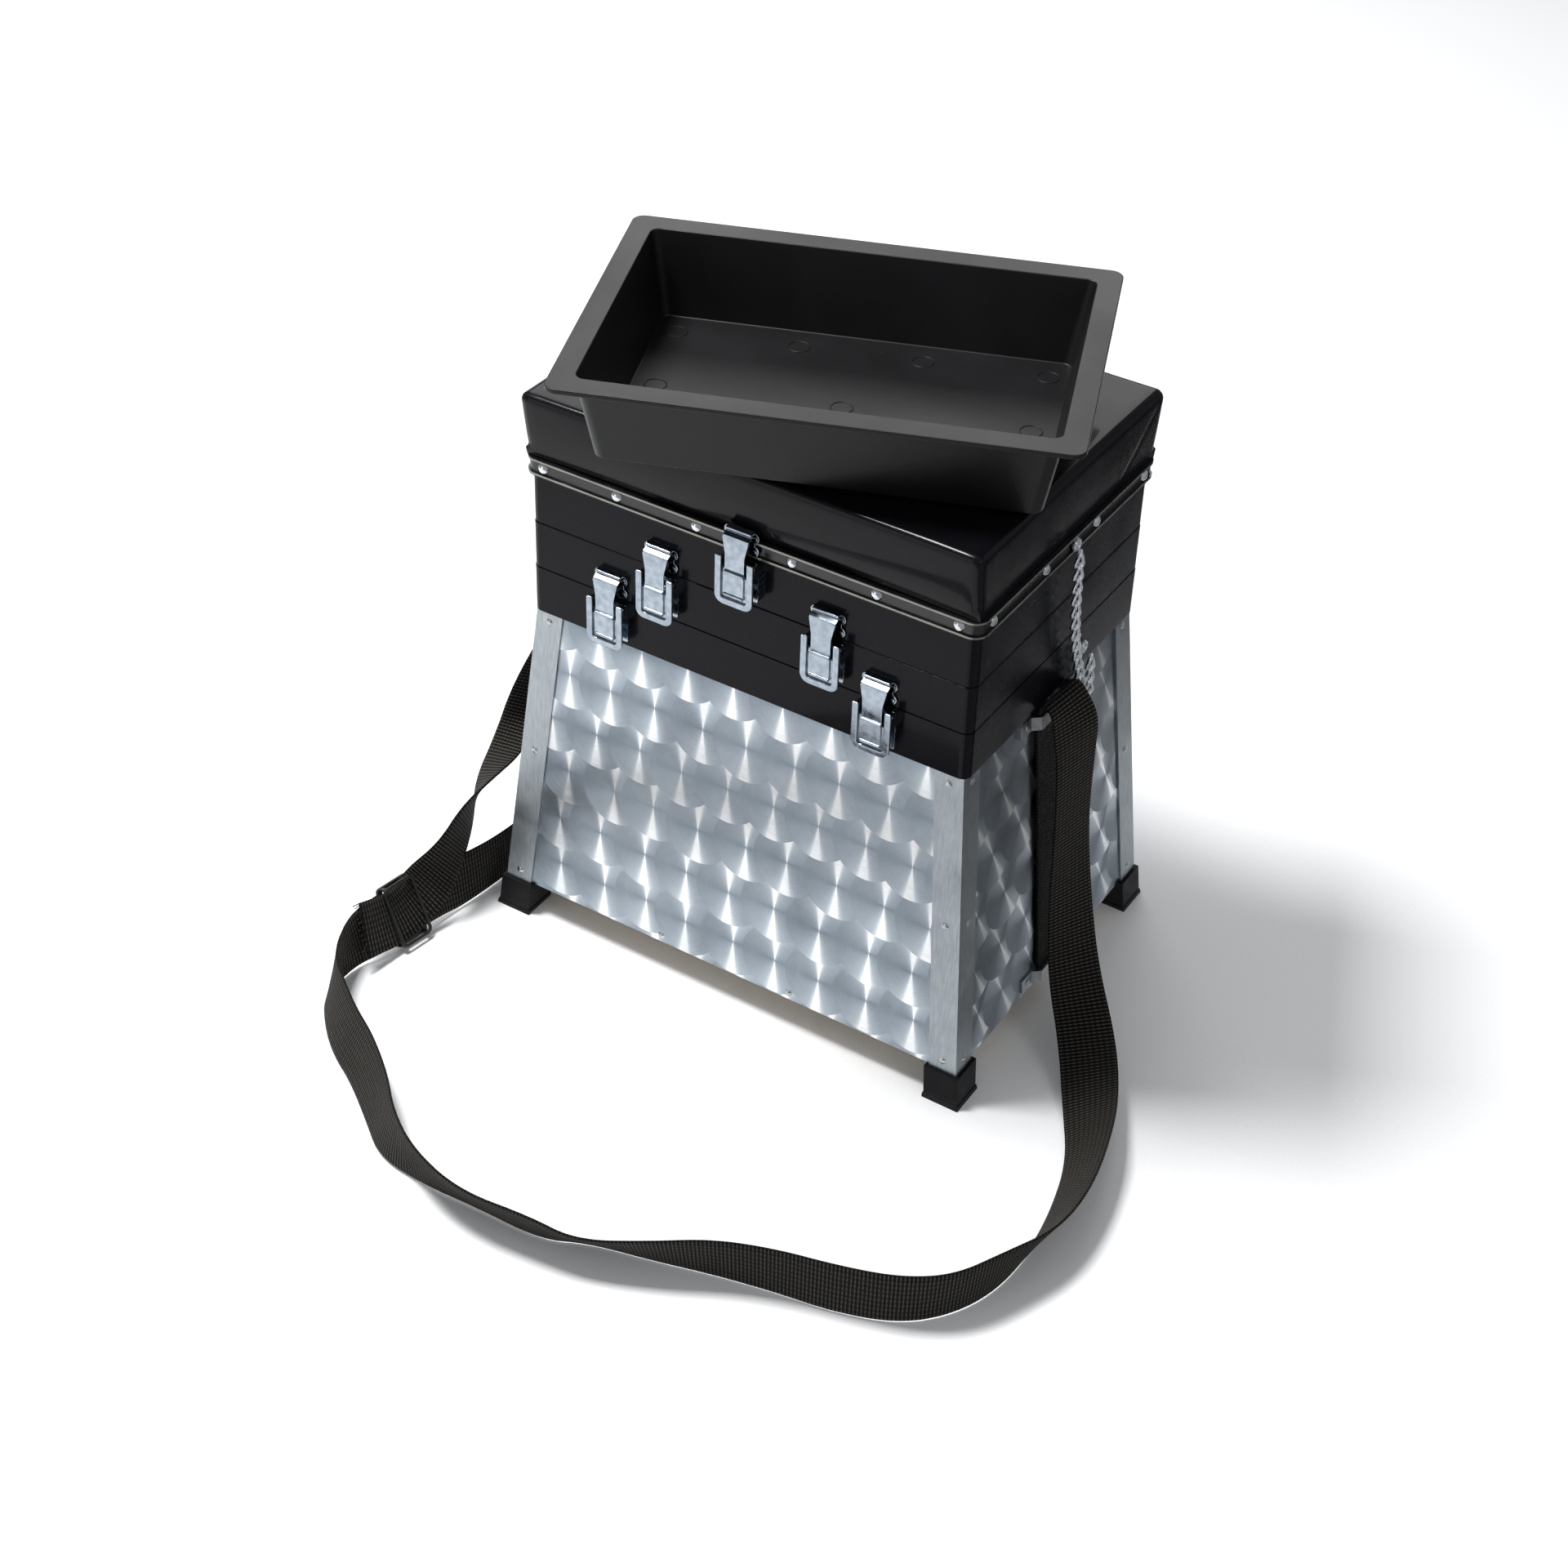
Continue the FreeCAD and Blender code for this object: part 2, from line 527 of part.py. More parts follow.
def hinge_leaf(axis_y, axis_z, wall_y, way, first):
    """One leaf for each of a seam's two hinges; way is 1 for the upper leaf, first the
    first knuckle that belongs to it."""
    r, t = HINGE_KNUCKLE_R, HINGE_LEAF_THICKNESS
    knuckle = HINGE_WIDTH / HINGE_KNUCKLES
    solids = []
    for middle in (-HINGE_X, HINGE_X):
        left = middle - HINGE_WIDTH / 2
        near = axis_z + way * (r + 0.4)
        far = axis_z + way * HINGE_LEAF
        plate = block(left, left + HINGE_WIDTH, wall_y, wall_y + t, min(near, far), max(near, far))
        pieces = []
        for i in range(first, HINGE_KNUCKLES, 2):
            x0 = left + i * knuckle + 0.1
            width = knuckle - 0.2
            pieces.append(Part.makeCylinder(r, width, Vector(x0, axis_y, axis_z), Vector(1, 0, 0)))
            web = [(x0, wall_y, near), (x0, wall_y, near + way * 1.6), (x0, wall_y + t, near + way * 1.6),
                   (x0, axis_y + 0.6, axis_z + way * (r - 0.15)), (x0, axis_y - r * 0.6, axis_z + way * r * 0.8)]
            pieces.append(prism(web, (width, 0, 0)))
        solid = fuse(plate, *pieces)
        bore = Part.makeCylinder(HINGE_PIN_R + PLAY, HINGE_WIDTH + 2,
                                 Vector(left - 1, axis_y, axis_z), Vector(1, 0, 0))
        solids.append(solid.cut(bore))
    return solids


def hinge_pins(axis_y, axis_z):
    pins = []
    for middle in (-HINGE_X, HINGE_X):
        start = Vector(middle - HINGE_WIDTH / 2 - 1.5, axis_y, axis_z)
        pin = Part.makeCylinder(HINGE_PIN_R, HINGE_WIDTH + 3, start, Vector(1, 0, 0))
        heads = [Part.makeCylinder(HINGE_PIN_R + 0.8, 1.2, start - Vector(1.2, 0, 0), Vector(1, 0, 0)),
                 Part.makeCylinder(HINGE_PIN_R + 0.8, 1.2, start + Vector(HINGE_WIDTH + 3, 0, 0),
                                   Vector(1, 0, 0))]
        pins.append(fuse(pin, *heads))
    return pins


def make_hinges():
    seams = [("lower", TIER_HINGE_Y, LOWER_SEAM_Z, CASE_DEPTH / 2, CASE_DEPTH / 2 - TIER_STEP),
             ("middle", TIER_HINGE_Y, UPPER_SEAM_Z, CASE_DEPTH / 2 - TIER_STEP,
              CASE_DEPTH / 2 - 2 * TIER_STEP),
             ("lid", LID_HINGE_Y, LID_SEAM_Z, CASE_DEPTH / 2 - 2 * TIER_STEP, CASE_DEPTH / 2 + BAND_BASE)]
    for name, axis_y, seam_z, lower_wall, upper_wall in seams:
        axis_z = seam_z - SEAM_GAP / 2
        keep(name + "_hinge_lower_leaves", *hinge_leaf(axis_y, axis_z, lower_wall, -1, 0))
        keep(name + "_hinge_upper_leaves", *hinge_leaf(axis_y, axis_z, upper_wall, 1, 1))
        keep(name + "_hinge_pins", *hinge_pins(axis_y, axis_z))


def latch_point(x, out, up, seam_z, face_y):
    """From a latch's own measures, outwards and up from its seam, to the model's."""
    return (x, face_y - out, seam_z + up)


def latch_block(x0, x1, out0, out1, up0, up1, x, face_y, seam_z):
    return block(x + x0, x + x1, face_y - out1, face_y - out0, seam_z + up0, seam_z + up1)


def latch_rod(r, half, x, out, up, face_y, seam_z):
    return Part.makeCylinder(r, 2 * half, Vector(x - half, face_y - out, seam_z + up), Vector(1, 0, 0))


def latch_keeper(x, seam_z, face_y):
    half = KEEPER_WIDTH / 2
    plate = latch_block(-half, half, 0, LATCH_PLATE, KEEPER_BOTTOM, KEEPER_TOP, x, face_y, seam_z)
    lip = latch_block(-half + 4, half - 4, 0, KEEPER_LIP, KEEPER_TOP - KEEPER_LIP_THICKNESS, KEEPER_TOP,
                      x, face_y, seam_z)
    ears = [latch_block(side - 1.5, side + 1.5, 0, KEEPER_LIP - 1.5, KEEPER_TOP - 9, KEEPER_TOP - 3,
                        x, face_y, seam_z) for side in (-half + 1.5, half - 1.5)]
    return fuse(plate, lip, *ears)


def latch_base(x, seam_z, face_y, back_y):
    """Base plate with two upright cheeks and the stub rivets that the lever turns on."""
    half = BASE_WIDTH / 2
    back = face_y - back_y
    plate = latch_block(-half, half, back, LATCH_PLATE, -BASE_BOTTOM, -KEEPER_BOTTOM, x, face_y, seam_z)
    pieces = []
    for sign in (-1, 1):
        low, high = sorted((sign * half, sign * (half - LATCH_PLATE)))
        pieces.append(latch_block(low, high, back, PIVOT_OUT, -CHEEK_BOTTOM, -PIVOT_DOWN + PIVOT_R + 1,
                                  x, face_y, seam_z))
        pieces.append(latch_block(low, high, PIVOT_OUT, CHEEK_DEPTH, -CHEEK_BOTTOM, -PIVOT_DOWN,
                                  x, face_y, seam_z))
        start = min(sign * (LEVER_EAR_OUTER - EAR_THICKNESS), sign * (half + 1.0))
        stub = Vector(x + start, face_y - PIVOT_OUT, seam_z - PIVOT_DOWN)
        length = half + 1.0 - (LEVER_EAR_OUTER - EAR_THICKNESS)
        pieces.append(Part.makeCylinder(PIVOT_R, length, stub, Vector(1, 0, 0)))
        cap = min(sign * half, sign * (half + 1.0))
        pieces.append(Part.makeCylinder(PIVOT_R + 1, 1.0, Vector(x + cap, stub.y, stub.z), Vector(1, 0, 0)))
        pieces.append(Part.makeCylinder(PIVOT_R + 1, LATCH_PLATE, Vector(x + low, stub.y, stub.z),
                                        Vector(1, 0, 0)))
    return fuse(plate, *pieces)


def latch_lever(x, seam_z, face_y):
    """Pressed lever: two arms, a cross bar, a window with a raised rim and a round end,
    with the ears that carry it and the pin that carries the draw plate."""
    half, t = LEVER_WIDTH / 2, LATCH_PLATE
    out0, out1 = LEVER_OUT, LEVER_OUT + t
    plate = latch_block(-half, half, out0, out1, -LEVER_BOTTOM, -LEVER_TOP, x, face_y, seam_z)
    ends = [e for e in plate.Edges if abs(e.BoundBox.YLength - t) < 1e-6
            and abs(e.BoundBox.Center.z - (seam_z - LEVER_BOTTOM)) < 1e-6]
    plate = plate.makeFillet(LEVER_CORNER_R, ends)
    notch = latch_block(-LEVER_NOTCH / 2, LEVER_NOTCH / 2, out0 - 1, out1 + 1, -LEVER_BAR_TOP, 5,
                        x, face_y, seam_z)
    window_top = -LEVER_BAR_TOP - LEVER_BAR
    window = latch_block(-WINDOW_WIDTH / 2, WINDOW_WIDTH / 2, out0 - 1, out1 + 3, -WINDOW_BOTTOM,
                         window_top, x, face_y, seam_z)
    rim = latch_block(-WINDOW_WIDTH / 2 - WINDOW_RIM, WINDOW_WIDTH / 2 + WINDOW_RIM, out1 - 0.1, out1 + 0.9,
                      -WINDOW_BOTTOM - WINDOW_RIM, window_top + WINDOW_RIM, x, face_y, seam_z)
    body = plate.fuse(rim).cut(notch).cut(window)
    ears = []
    for sign in (-1, 1):
        low, high = sorted((sign * LEVER_EAR_OUTER, sign * (LEVER_EAR_OUTER - EAR_THICKNESS)))
        ears.append(latch_block(low, high, DRAW_PIN_OUT - 2, out0 + 0.2, -DRAW_PIN_DOWN - 2.2,
                                -PIVOT_DOWN + 2.2, x, face_y, seam_z))
    pin = latch_rod(DRAW_PIN_R, LEVER_EAR_OUTER - 0.1, x, DRAW_PIN_OUT, -DRAW_PIN_DOWN, face_y, seam_z)
    holes = latch_rod(PIVOT_R + PLAY, BASE_WIDTH, x, PIVOT_OUT, -PIVOT_DOWN, face_y, seam_z)
    return fuse(body, *ears).cut(holes).fuse(pin).removeSplitter()


def draw_plate(x, seam_z, face_y):
    half, t = DRAW_WIDTH / 2, LATCH_PLATE
    plate = latch_block(-half, half, DRAW_OUT, DRAW_OUT + t, -DRAW_PIN_DOWN, DRAW_TOP, x, face_y, seam_z)
    eye = latch_rod(DRAW_EYE_R, half, x, DRAW_PIN_OUT, -DRAW_PIN_DOWN, face_y, seam_z)
    curl = latch_block(-half, half, DRAW_OUT, DRAW_OUT + 2.2, DRAW_TOP - 1.6, DRAW_TOP, x, face_y, seam_z)
    bore = latch_rod(DRAW_PIN_R + PLAY, half + 1, x, DRAW_PIN_OUT, -DRAW_PIN_DOWN, face_y, seam_z)
    return fuse(plate, eye, curl).cut(bore)


def make_latches():
    front = -CASE_DEPTH / 2
    groups = [("lid", LID_LATCH_X, LID_SEAM_Z, front - BAND_OUT, front + 2 * TIER_STEP),
              ("upper_tier", UPPER_LATCH_X, UPPER_SEAM_Z, front + TIER_STEP, front + TIER_STEP),
              ("lower_tier", LOWER_LATCH_X, LOWER_SEAM_Z, front, front)]
    for name, places, seam_z, face_y, back_y in groups:
        keep(name + "_latch_keepers", *[latch_keeper(x, seam_z, face_y) for x in places])
        keep(name + "_latch_bases", *[latch_base(x, seam_z, face_y, back_y) for x in places])
        for x in places:
            side = "centre" if x == 0 else ("left" if x < 0 else "right")
            keep("%s_latch_lever_%s" % (name, side), latch_lever(x, seam_z, face_y))
            keep("%s_latch_draw_plate_%s" % (name, side), draw_plate(x, seam_z, face_y))


def smooth(points, steps):
    """Points along the quadratic spline that a list of control points draws."""
    points = [Vector(*p) for p in points]
    curve = Part.BSplineCurve()
    count = len(points)
    knots = [i / (count - 2) for i in range(count - 1)]
    curve.buildFromPolesMultsKnots(points, [3] + [1] * (count - 3) + [3], knots, False, 2)
    total = (count - 2) * steps
    return [curve.value(i / total) for i in range(total + 1)]


def chain_link(middle, along, twist):
    """One stadium-shaped link of round wire, its long axis along, turned by twist."""
    r = CHAIN_WIRE_R
    side = CHAIN_LINK_WIDTH / 2 - r
    run = CHAIN_LINK_LENGTH / 2 - r - side
    path = Part.Wire([
        Part.LineSegment(Vector(-run, side, 0), Vector(run, side, 0)).toShape(),
        Part.Arc(Vector(run, side, 0), Vector(run + side, 0, 0), Vector(run, -side, 0)).toShape(),
        Part.LineSegment(Vector(run, -side, 0), Vector(-run, -side, 0)).toShape(),
        Part.Arc(Vector(-run, -side, 0), Vector(-run - side, 0, 0), Vector(-run, side, 0)).toShape()])
    section = Part.Wire([Part.makeCircle(r, Vector(-run, side, 0), Vector(1, 0, 0))])
    link = path.makePipeShell([section], True, True)
    link.rotate(Vector(0, 0, 0), Vector(1, 0, 0), twist)
    turn = FreeCAD.Rotation(Vector(1, 0, 0), along)
    link.Placement = FreeCAD.Placement(middle, turn).multiply(link.Placement)
    return link


def along_route(points, pitch):
    """Evenly spaced places along a line of points, each with the way it runs there."""
    places, left = [], pitch / 2
    for a, b in zip(points, points[1:]):
        step = b - a
        length = step.Length
        while left <= length:
            places.append((a + step * (left / length), Vector(step).normalize()))
            left += pitch
        left -= length
    return places


def make_chain():
    """Chain links from the lid's eye down and up again to the collar's eye."""
    line = smooth([(CHAIN_X, y, BIN_TOP_Z + z) for y, z in CHAIN_ROUTE], 12)
    links = []
    for number, (middle, along) in enumerate(along_route(line, CHAIN_PITCH)):
        links.append(chain_link(middle, along, 45 if number % 2 else -45))
    keep("stay_chain", *links)
    top, end = CHAIN_ROUTE[0], CHAIN_ROUTE[-1]
    band_x, wall_x = CASE_WIDTH / 2 + BAND_OUT, CASE_WIDTH / 2
    keep("chain_eye_lid", chain_eye(band_x, top[0], LID_SEAM_Z + BAND_HEIGHT / 2))
    keep("chain_eye_collar", chain_eye(wall_x, end[0], BIN_TOP_Z + end[1] + CHAIN_EYE_R + 1))


def chain_eye(face_x, y, z):
    """A screw plate on the wall with a wire ring standing on it."""
    plate = Part.makeCylinder(CHAIN_EYE_R + 0.5, 1.2, Vector(face_x, y, z), Vector(1, 0, 0))
    wire_ring = Part.makeTorus(CHAIN_EYE_R - CHAIN_WIRE_R, CHAIN_WIRE_R,
                               Vector(face_x + 1.2 + CHAIN_WIRE_R * 0.8, y, z), Vector(1, 0, 0))
    return fuse(plate, wire_ring)


def make_tray():
    """Moulded tray: drafted walls, a flat rim with a turned-down lip."""
    def rows(inset, z_shift):
        return [(TRAY_BOTTOM[0] / 2 - inset, TRAY_BOTTOM[1] / 2 - inset, z_shift),
                (TRAY_TOP[0] / 2 - inset, TRAY_TOP[1] / 2 - inset, TRAY_HEIGHT)]
    outer = loft([round_rect(x, y, z, TRAY_CORNER_R) for x, y, z in rows(0, 0)])
    inner = loft([round_rect(x, y, z, TRAY_CORNER_R - TRAY_WALL) for x, y, z in rows(TRAY_WALL, TRAY_WALL)])
    rim_z = TRAY_HEIGHT - TRAY_RIM_THICKNESS
    rim = round_box(TRAY_RIM[0] / 2, TRAY_RIM[1] / 2, rim_z, TRAY_HEIGHT, TRAY_CORNER_R)
    lip = ring(TRAY_RIM[0] / 2, TRAY_RIM[1] / 2, TRAY_WALL, TRAY_HEIGHT - TRAY_RIM_LIP, TRAY_HEIGHT,
               TRAY_CORNER_R)
    tray = fuse(outer, rim, lip).cut(inner)
    tray.rotate(Vector(0, 0, 0), Vector(0, 0, 1), TRAY_TURN)
    tray.translate(Vector(TRAY_CENTRE[0], TRAY_CENTRE[1], TRAY_Z))
    keep("loose_tray", tray)


def strap_edges(route):
    """The two edges of a flat strap, as control points, from a route."""
    spots, edges = [], ([], [])
    for x, y, z, *width in route:
        spots.append(Vector(x, y, STRAP_WIDTH / 2 if z is FLOOR else z))
    for i, (spot, point) in enumerate(zip(spots, route)):
        along = (spots[min(i + 1, len(spots) - 1)] - spots[max(i - 1, 0)]).normalize()
        width = Vector(*point[3:6])
        width = (width - along * width.dot(along)).normalize()
        half = STRAP_WIDTH / 2 * (point[6] if len(point) > 6 else 1)
        if point[2] is FLOOR:
            spot = Vector(spot.x, spot.y, half * abs(width.z) + STRAP_THICKNESS)
        edges[0].append(tuple(spot - width * half))
        edges[1].append(tuple(spot + width * half))
    return edges


def ribbon(route, name):
    """A flat strap as one solid through its two edges; prints its length and volume."""
    first, second = (smooth(edge, STRAP_STEPS) for edge in strap_edges(route))
    middle = [(a + b) * 0.5 for a, b in zip(first, second)]
    sections = []
    for i, (a, b) in enumerate(zip(first, second)):
        along = middle[min(i + 1, len(middle) - 1)] - middle[max(i - 1, 0)]
        face = along.cross(b - a).normalize() * (STRAP_THICKNESS / 2)
        sections.append(Part.makePolygon([a - face, b - face, b + face, a + face, a - face]))
    solid = loft(sections)
    length = sum((b - a).Length for a, b in zip(middle, middle[1:]))
    full = length * STRAP_WIDTH * STRAP_THICKNESS
    print("%s: length %.0f mm, volume %.3f of section times length, lowest %.1f mm"
          % (name, length, solid.Volume / full, solid.BoundBox.ZMin))
    return solid


def strap_buckle():
    """A three-bar slide: a frame with two slots, standing on the strap."""
    along = Vector(*BUCKLE_WAY).normalize()
    up = Vector(*BUCKLE_UP)
    up = (up - along * up.dot(along)).normalize()
    face = along.cross(up)
    frame = block(-BUCKLE_LENGTH / 2, BUCKLE_LENGTH / 2, -BUCKLE_WIDTH / 2, BUCKLE_WIDTH / 2,
                  -BUCKLE_THICKNESS / 2, BUCKLE_THICKNESS / 2)
    frame = frame.makeFillet(4.0, [e for e in frame.Edges if abs(e.BoundBox.ZLength - BUCKLE_THICKNESS) < 1e-6])
    reach = BUCKLE_WIDTH / 2 - BUCKLE_RIM
    slots = [block(side - BUCKLE_SLOT / 2, side + BUCKLE_SLOT / 2, -reach, reach, -9, 9)
             for side in (-BUCKLE_LENGTH / 4 + 0.6, BUCKLE_LENGTH / 4 - 0.6)]
    frame = frame.cut(slots)
    turn = FreeCAD.Placement(FreeCAD.Matrix(along.x, up.x, face.x, BUCKLE_AT[0],
                                            along.y, up.y, face.y, BUCKLE_AT[1],
                                            along.z, up.z, face.z, BUCKLE_AT[2], 0, 0, 0, 1))
    frame.Placement = turn
    return frame


def buckle_end(side):
    """The two route points that lead a strap square onto one end of the slide."""
    along = Vector(*BUCKLE_WAY).normalize()
    places = [Vector(*BUCKLE_AT) + along * (side * reach) for reach in (BUCKLE_LENGTH, BUCKLE_LENGTH / 2)]
    return [tuple(place) + tuple(side * share for share in BUCKLE_UP) for place in places]


def make_strap():
    keep("carry_strap", ribbon(CARRY_ROUTE + buckle_end(1), "carry_strap"))
    keep("side_strap", ribbon(buckle_end(-1)[::-1] + SIDE_ROUTE, "side_strap"))
    keep("strap_buckle", strap_buckle())


make_bin()
make_strap_loops()
make_collar()
keep("lower_tier", tier(LOWER_SEAM_Z, LOWER_TIER_HEIGHT, TIER_STEP))
keep("upper_tier", tier(UPPER_SEAM_Z, UPPER_TIER_HEIGHT, 2 * TIER_STEP))
make_lid()
make_hinges()
make_latches()
make_chain()
make_tray()
make_strap()

os.makedirs("parts", exist_ok=True)
offset = case_offset()
print("middle of the case at", (-offset.x, -offset.y), "nodes", len(PARTS))
for node, shape in PARTS.items():
    placed = shape.copy()
    placed.translate(offset * -1)
    if not placed.isValid():
        print("not valid:", node)
    placed.exportStep("parts/%s.step" % node)
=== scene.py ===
"""Looks of a fishing seat box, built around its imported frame: an aluminium bin with
engine-turned panels, two black tackle tiers, a vinyl seat, toggle latches, a stay
chain, a webbing strap lying on the ground and a moulded bait tray on the seat."""
import json
import math

import bmesh
import bpy
from mathutils import Matrix, Vector, noise
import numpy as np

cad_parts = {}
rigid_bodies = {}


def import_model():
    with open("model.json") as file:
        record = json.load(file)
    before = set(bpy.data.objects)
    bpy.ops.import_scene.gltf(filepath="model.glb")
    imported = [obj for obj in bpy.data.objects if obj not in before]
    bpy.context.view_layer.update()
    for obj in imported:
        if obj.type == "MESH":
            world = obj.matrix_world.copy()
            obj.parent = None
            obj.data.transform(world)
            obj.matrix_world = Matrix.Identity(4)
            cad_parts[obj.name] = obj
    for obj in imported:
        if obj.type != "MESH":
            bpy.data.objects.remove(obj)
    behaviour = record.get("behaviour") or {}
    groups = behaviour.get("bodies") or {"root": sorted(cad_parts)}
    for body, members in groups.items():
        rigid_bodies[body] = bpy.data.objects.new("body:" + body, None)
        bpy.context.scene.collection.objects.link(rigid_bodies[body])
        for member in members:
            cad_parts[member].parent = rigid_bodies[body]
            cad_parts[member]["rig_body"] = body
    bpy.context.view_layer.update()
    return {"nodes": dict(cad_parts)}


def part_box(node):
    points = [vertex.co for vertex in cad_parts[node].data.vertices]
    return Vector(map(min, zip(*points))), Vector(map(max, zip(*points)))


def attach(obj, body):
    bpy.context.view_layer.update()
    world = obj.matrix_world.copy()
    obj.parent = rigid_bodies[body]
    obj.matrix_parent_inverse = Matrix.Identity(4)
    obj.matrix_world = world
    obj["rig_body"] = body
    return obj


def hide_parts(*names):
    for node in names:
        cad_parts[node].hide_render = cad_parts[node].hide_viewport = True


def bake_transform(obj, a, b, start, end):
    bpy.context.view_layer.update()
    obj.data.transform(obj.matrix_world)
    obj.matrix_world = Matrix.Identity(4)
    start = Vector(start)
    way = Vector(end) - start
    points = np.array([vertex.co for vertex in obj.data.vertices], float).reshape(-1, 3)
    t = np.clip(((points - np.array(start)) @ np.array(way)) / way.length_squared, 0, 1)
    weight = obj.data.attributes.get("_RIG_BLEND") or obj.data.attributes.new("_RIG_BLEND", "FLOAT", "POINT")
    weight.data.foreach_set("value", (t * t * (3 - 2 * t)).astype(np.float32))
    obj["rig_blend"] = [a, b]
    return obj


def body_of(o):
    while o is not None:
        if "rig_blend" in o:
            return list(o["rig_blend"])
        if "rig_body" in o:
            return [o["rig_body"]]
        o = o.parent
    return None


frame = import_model()
MM = 0.001
NODES = frame["nodes"]


def middle_of(node):
    low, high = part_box(node)
    return (low + high) / 2


CASE_MIDDLE = Vector((middle_of("collar").x, middle_of("collar").y, 0.0))


def at_case(x, y, z):
    """A place given in millimetres from the middle of the case, in metres."""
    return CASE_MIDDLE + Vector((x, y, z)) * MM


def square_to(along, way):
    """The part of a way that is square to a unit vector, one long."""
    way = Vector(way)
    return (way - along * way.dot(along)).normalized()


# camera, as fitted to the photograph's straight edges
VIEW_TARGET = at_case(0, 0, 230)
VIEW_TURN = math.radians(30.15)
VIEW_RISE = math.radians(36.08)
VIEW_ROLL = math.radians(2.70)
VIEW_DISTANCE = 2.263
VIEW_LENS = 62.96
VIEW_SHIFT = (-0.0306, -0.0637)


def make_camera():
    back = Vector((math.sin(VIEW_TURN) * math.cos(VIEW_RISE),
                   -math.cos(VIEW_TURN) * math.cos(VIEW_RISE), math.sin(VIEW_RISE)))
    right = Vector((math.cos(VIEW_TURN), math.sin(VIEW_TURN), 0))
    up = back.cross(right)
    side = right * math.cos(VIEW_ROLL) + up * math.sin(VIEW_ROLL)
    top = up * math.cos(VIEW_ROLL) - right * math.sin(VIEW_ROLL)
    camera = bpy.data.objects.new("camera", bpy.data.cameras.new("camera"))
    bpy.context.scene.collection.objects.link(camera)
    camera.data.lens = VIEW_LENS
    camera.data.sensor_width = 36
    camera.data.shift_x, camera.data.shift_y = VIEW_SHIFT
    camera.matrix_world = Matrix((side, top, back)).transposed().to_4x4()
    camera.location = VIEW_TARGET + back * VIEW_DISTANCE
    bpy.context.scene.camera = camera


# small tools for modelling
NEAR = 0.01  # millimetres within which two places are the same
WELD = 0.005 * MM  # metres within which the corners of a CAD copy are merged
FLAT = math.radians(0.6)  # angle under which its triangles are taken for one flat face


def clear_selection():
    for chosen in bpy.context.selected_objects:
        chosen.select_set(False)


def choose(piece):
    clear_selection()
    piece.select_set(True)
    bpy.context.view_layer.objects.active = piece


def apply_modifier(piece, kind, **settings):
    """Adds a modifier and applies it at once."""
    choose(piece)
    modifier = piece.modifiers.new(kind.lower(), kind)
    for name, value in settings.items():
        setattr(modifier, name, value)
    bpy.ops.object.modifier_apply(modifier=modifier.name)


def smooth_by_angle(piece, degrees):
    choose(piece)
    bpy.ops.object.shade_smooth_by_angle(angle=math.radians(degrees))


def edit(piece):
    choose(piece)
    bpy.ops.object.mode_set(mode="EDIT")


def leave_edit():
    bpy.ops.object.mode_set(mode="OBJECT")


def turn_faces_out(piece):
    edit(piece)
    bpy.ops.mesh.select_all(action="SELECT")
    bpy.ops.mesh.normals_make_consistent(inside=False)
    leave_edit()


def break_edges(piece, width, segments=2, angle=35, smooth=40):
    """Bevels the edges sharper than an angle, by a width in millimetres, and shades the
    piece smooth with its flat faces left flat."""
    if width:
        apply_modifier(piece, "BEVEL", width=width * MM, segments=segments, limit_method="ANGLE",
                       angle_limit=math.radians(angle), use_clamp_overlap=True)
    smooth_by_angle(piece, smooth)
    apply_modifier(piece, "WEIGHTED_NORMAL", keep_sharp=True)
    return piece


def apply_place(piece):
    choose(piece)
    bpy.ops.object.transform_apply(location=True, rotation=True, scale=True)


def primitive(operator, scale=(1, 1, 1), **settings):
    """A primitive by its Blender operator, with its place and scale applied."""
    clear_selection()
    operator(**settings)
    piece = bpy.context.active_object
    piece.scale = scale
    apply_place(piece)
    return piece


def join(pieces, name):
    """Joins pieces into the first one."""
    clear_selection()
    for piece in pieces:
        piece.select_set(True)
    bpy.context.view_layer.objects.active = pieces[0]
    if len(pieces) > 1:
        bpy.ops.object.join()
    pieces[0].name = name
    return pieces[0]


def assemble(name, parts):
    """Joins parts, each first given the bevel whose settings stand after it, if any do."""
    return join([break_edges(part, *bevel) if bevel else part for part, *bevel in parts], name)


def new_piece(name, mesh):
    piece = bpy.data.objects.new(name, mesh)
    bpy.context.scene.collection.objects.link(piece)
    return piece


def piece_from(shape, name):
    """A piece out of a bmesh, its faces turned outwards."""
    bmesh.ops.recalc_face_normals(shape, faces=shape.faces)
    mesh = bpy.data.meshes.new(name)
    shape.to_mesh(mesh)
    shape.free()
    return new_piece(name, mesh)


def copy_moved(piece, name, move=Matrix.Identity(4)):
    """A copy with its own mesh, moved to its place."""
    mesh = piece.data.copy()
    mesh.transform(move)
    return new_piece(name, mesh)


def finish_piece(piece, material, slot, body, *nodes):
    """Gives a piece its material and its body, and hides the nodes it stands for; its slot is not used."""
    piece.data.materials.clear()
    piece.data.materials.append(material)
    if body:
        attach(piece, body)
    if nodes:
        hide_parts(*nodes)
    return piece


def dress(node, material, slot, bevel=0.0, segments=2):
    """Stands a rounded copy of a CAD node in its place: welded, its flat faces made whole
    again, its sharp edges broken by a bevel in millimetres."""
    piece = copy_moved(NODES[node], node + "_finished")
    edit(piece)
    bpy.ops.mesh.select_all(action="SELECT")
    bpy.ops.mesh.remove_doubles(threshold=WELD)
    bpy.ops.mesh.dissolve_limited(angle_limit=FLAT)
    leave_edit()
    break_edges(piece, bevel, segments, smooth=42)
    return finish_piece(piece, material, slot, body_of(NODES[node])[0], node)


